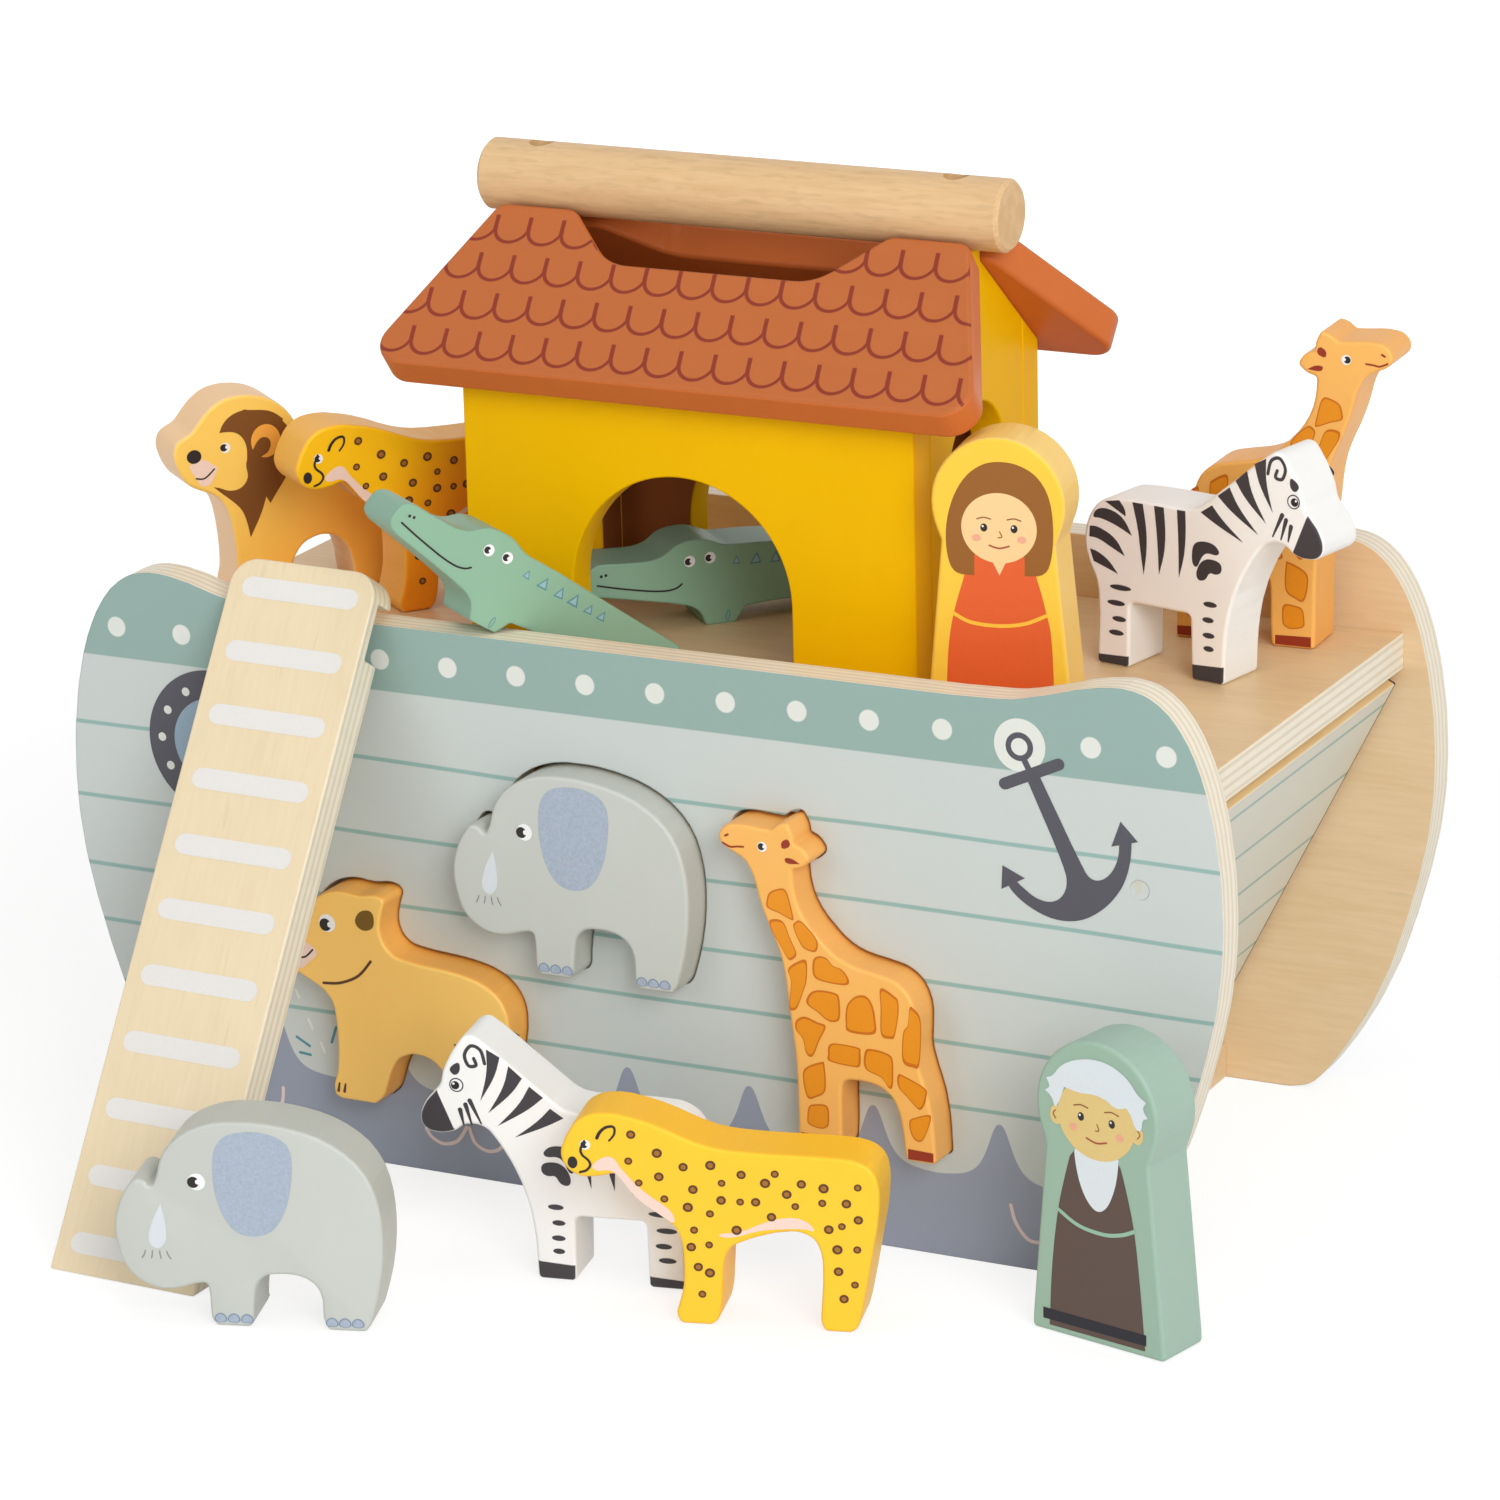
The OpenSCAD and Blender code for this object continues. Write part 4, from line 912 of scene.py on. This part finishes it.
def print_mesh(name, marks, place, outward, body):
    """thin inked shapes on a face, one object for each colour; place gives a point for x, z and lift"""
    groups = {}
    for layer, colour, outline in marks:
        groups.setdefault(colour, []).append((layer, outline))
    for number, (colour, shapes) in enumerate(groups.items()):
        mesh = bmesh.new()
        for layer, outline in shapes:
            lift = LAYER_START + LAYER_STEP * layer
            face = mesh.faces.new([mesh.verts.new(place(x, z, lift)) for x, z in outline])
            face.normal_update()
            if face.normal.dot(outward) < 0:
                face.normal_flip()
        bmesh.ops.triangulate(mesh, faces=mesh.faces[:])
        data = bpy.data.meshes.new("%s_%d" % (name, number))
        mesh.to_mesh(data)
        mesh.free()
        data.materials.append(ink_for(colour))
        thing = linked(data.name, data)
        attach(thing, body)


# easing: distance of the weld in metres, largest turn between faces of one plane, smallest turn of an edge
WELD, FLAT_TURN, EDGE_TURN, EASE_SEGMENTS = 0.00002, radians(0.6), radians(35.0), 3


def finish_of(node, material, ease=None):
    """gives a node its material and, where asked, eased edges"""
    thing = nodes[node]
    thing.data.materials.clear()
    thing.data.materials.append(material)
    if ease is None:
        return
    weld = thing.modifiers.new("weld", "WELD")
    weld.merge_threshold = WELD
    flatten = thing.modifiers.new("flatten", "DECIMATE")
    flatten.decimate_type = "DISSOLVE"
    flatten.angle_limit = FLAT_TURN
    bevel = thing.modifiers.new("ease", "BEVEL")
    bevel.width = ease * MM
    bevel.segments = EASE_SEGMENTS
    bevel.limit_method = "ANGLE"
    bevel.angle_limit = EDGE_TURN
    bevel.use_clamp_overlap = False
    bevel.miter_outer = "MITER_ARC"
    bevel.harden_normals = True


# hull, house and roof
for name, side in (("hull_side_front", -1), ("hull_side_back", 1)):
    finish_of(name, hull_side(name + "_print", side))
finish_of("deck", deck_ply("deck_ply"), EASE_BOARD)
finish_of("base_board", plain_wood("base_wood"), EASE_BOARD)
for name, side in (("bow_board", -1), ("stern_flap", 1)):
    axis = (side * cos(BOARD_LEAN), 0, -sin(BOARD_LEAN))
    half = max(corner.co.y for corner in nodes[name].data.vertices) / MM
    finish_of(name, end_board(name + "_print", axis, half), EASE_BOARD)
finish_of("hull_dowels", dowel_wood("hull_dowel_wood", Y_AXIS))
finish_of("flap_pins", painted_plug("flap_pin_paint"))
finish_of("house_pegs", dowel_wood("house_peg_wood", Z_AXIS))
finish_of("ridge_handle", dowel_wood("handle_wood", X_AXIS))
finish_of("ridge_screws", screw_steel("screw_zinc"))
for name in ("house_front", "house_back", "house_gable_bow", "house_gable_stern"):
    finish_of(name, house_paint(name + "_yellow"), EASE_WALL)
for name, side in (("roof_front", -1), ("roof_back", 1)):
    finish_of(name, roof_paint(name + "_terracotta", side), EASE_ROOF)

# gangplank, in its own frame: foot at v = 0, rising along v, u across
PLANK_SLOPE, PLANK_TURN, PLANK_OVER, PLANK_X = radians(58.2), radians(-2.2), 6.8, -110.7
RUNGS = (222.8, 201.8, 180.8, 159.8, 138.3, 117.3, 95.8, 74.3, 52.8, 31.3, 9.8)
RUNG_HALF, RUNG_WIDE = 18.2, 6.7
plank_foot = (PLANK_OVER + RIM * cos(PLANK_SLOPE)) / sin(PLANK_SLOPE)
plank_frame = (Matrix.Translation((PLANK_X, -HULL_HALF_WIDTH, 0)) @ Matrix.Rotation(PLANK_TURN, 4, "Z")
               @ Matrix.Translation((0, -plank_foot, 0)) @ Matrix.Rotation(PLANK_SLOPE, 4, "X"))
plank_up = plank_frame.to_3x3() @ Vector(Z_AXIS)


def plank_wood(name):
    """plywood like the deck's, with its grain up the slope and soft blotches"""
    net = Net(name, LACQUER)
    tilted = net.node("ShaderNodeMapping", {"Vector": net.place, "Rotation": (-PLANK_SLOPE, 0, 0)})
    net.place, kept = tilted.outputs["Vector"], net.place
    veneer, streaks = grain(net, Y_AXIS, *PLANK_WOOD)
    veneer = net.shade(veneer, 0.03, net.noise(38.0, (1.6, 1, 1), 2.0))
    net.place = kept
    edge = layers(net, plank_up, plank_up.dot(plank_frame.translation), -PLY)
    net.bump(streaks, *VENEER_BUMP)
    return net.done(net.mix(net.flat(tuple(plank_up)), edge, veneer))


finish_of("gangplank", plank_wood("gangplank_ply"), EASE_WALL)
rung_marks = [(1, RUNG_WHITE, stroke([(-RUNG_HALF, v), (RUNG_HALF, v)], RUNG_WIDE)) for v in RUNGS]
print_mesh("gangplank_rungs", rung_marks, lambda u, v, lift: (plank_frame @ Vector((u, v, lift))) * MM,
           plank_up, "gangplank")

# hull artwork on both sides
for name, side in (("hull_front_art", -1), ("hull_back_art", 1)):
    print_mesh(name, hull_marks(side), lambda x, z, lift: Vector((-side * x, side * (HULL_HALF_WIDTH + lift), z)) * MM,
               Vector((0, side, 0)), "ark")

# figures
for node in FIGURES:
    finish_of(node, figure_paint(node), None if kind_of(node) in SHADED_EDGES else EASE_FIGURE)
    world, _, _, back, _ = figure_frame(node)
    slot, draw = KINDS[kind_of(node)][2:]
    dx, dz = PRINT_SHIFT.get(node, (0, 0))
    marks = [(layer, colour, [(x + dx, z + dz) for x, z in outline]) for layer, colour, outline in draw()]
    print_mesh(node + "_print_front", marks, lambda x, z, lift: world(x, z, -lift), -back, node + "_body")
    print_mesh(node + "_print_rear", marks, lambda x, z, lift: world(x, z, FIGURE_THICK + lift), back,
               node + "_body")

# studio, in metres
CLIP_END = 20
WORLD_STRENGTH, WORLD_SHOWN = 0.47, 1.0
FLOOR_HALF, FLOOR_DROP, FLOOR_GREY, FLOOR_SHADOW = 6, 0.0002, 0.85, 0.34
# the floor's glow: from and to a distance, and its strength at each
FLOOR_GLOW = {"From Min": 0.3, "From Max": 1.3, "To Min": 0.74, "To Max": 1.0}
# lamps: place, size and power
LAMP_TARGET = (0, 0, 0.13)
LAMPS = {
    "key": ((1.65, -1.65, 1.4), 1.4, 32.5), "left": ((-1.2, -1.9, 0.9), 1.2, 6.0),
    "top": ((0.3, -0.1, 2.2), 1.3, 6.0), "low": ((1.6, -1.8, 0.25), 1.4, 5.5)}


def camera():
    data = bpy.data.cameras.new("camera")
    data.sensor_width = SENSOR
    data.lens = SENSOR * FOCAL_PX / IMAGE_PX
    data.clip_end = CLIP_END
    thing = linked("camera", data)
    place, target = Vector(CAMERA_PLACE) * MM, Vector(CAMERA_TARGET) * MM
    behind = (place - target).normalized()
    right = Vector((-behind.y, behind.x, 0)).normalized()
    up = behind.cross(right)
    roll = radians(CAMERA_ROLL)
    right, up = (cos(roll) * right + sin(roll) * up, -sin(roll) * right + cos(roll) * up)
    turn = Matrix((right, up, behind)).transposed().to_4x4()
    thing.matrix_world = Matrix.Translation(place) @ turn
    bpy.context.scene.camera = thing


def choose(net, lighting, shown, out):
    """one shader for rays that light the scene, another for camera, glossy and transmission rays"""
    path = net.node("ShaderNodeLightPath")
    direct = path.outputs["Is Camera Ray"]
    for kind in ("Is Glossy Ray", "Is Transmission Ray"):
        direct = net.math("MAXIMUM", direct, path.outputs[kind])
    pick = net.node("ShaderNodeMixShader", {0: direct, 1: lighting, 2: shown})
    net.node(out, {"Surface": pick.outputs[0]})


def empty_tree(owner):
    owner.use_nodes = True
    owner.node_tree.nodes.clear()
    return Tree(owner.node_tree)


def studio():
    world = bpy.data.worlds.new("studio")
    bpy.context.scene.world = world
    net = empty_tree(world)
    grounds = [net.node("ShaderNodeBackground", {"Color": (1, 1, 1, 1), "Strength": strength}).outputs[0]
               for strength in (WORLD_STRENGTH, WORLD_SHOWN)]
    choose(net, *grounds, "ShaderNodeOutputWorld")
    for name, (place, size, power) in LAMPS.items():
        data = bpy.data.lights.new(name, "AREA")
        data.shape = "DISK"
        data.size, data.energy = size, power
        thing = linked(name, data)
        thing.location = place
        thing.rotation_euler = (Vector(LAMP_TARGET) - Vector(place)).to_track_quat("-Z", "Y").to_euler()


def floor():
    mesh = bpy.data.meshes.new("floor")
    corners = [(x * FLOOR_HALF, y * FLOOR_HALF, 0) for x, y in ((-1, -1), (1, -1), (1, 1), (-1, 1))]
    mesh.from_pydata(corners, [], [(0, 1, 2, 3)])
    thing = linked("floor", mesh)
    thing.location.z = -FLOOR_DROP
    material = bpy.data.materials.new("floor_paper")
    net = empty_tree(material)
    paper, shadow = (net.node("ShaderNodeBsdfDiffuse", {"Color": (grey, grey, grey, 1)}).outputs[0]
                     for grey in (FLOOR_GREY, FLOOR_SHADOW))
    place = net.node("ShaderNodeTexCoord").outputs["Object"]
    reach = net.node("ShaderNodeVectorMath", {0: place}, operation="LENGTH").outputs["Value"]
    rise = net.node("ShaderNodeMapRange", {"Value": reach, **FLOOR_GLOW}, interpolation_type="SMOOTHSTEP")
    glow = net.node("ShaderNodeEmission", {"Strength": rise.outputs["Result"]}).outputs[0]
    shown = net.node("ShaderNodeAddShader", {0: shadow, 1: glow}).outputs[0]
    choose(net, paper, shown, "ShaderNodeOutputMaterial")
    mesh.materials.append(material)


camera()
studio()
floor()
scene = bpy.context.scene
scene.view_settings.view_transform = "Standard"
scene.view_settings.look = "None"
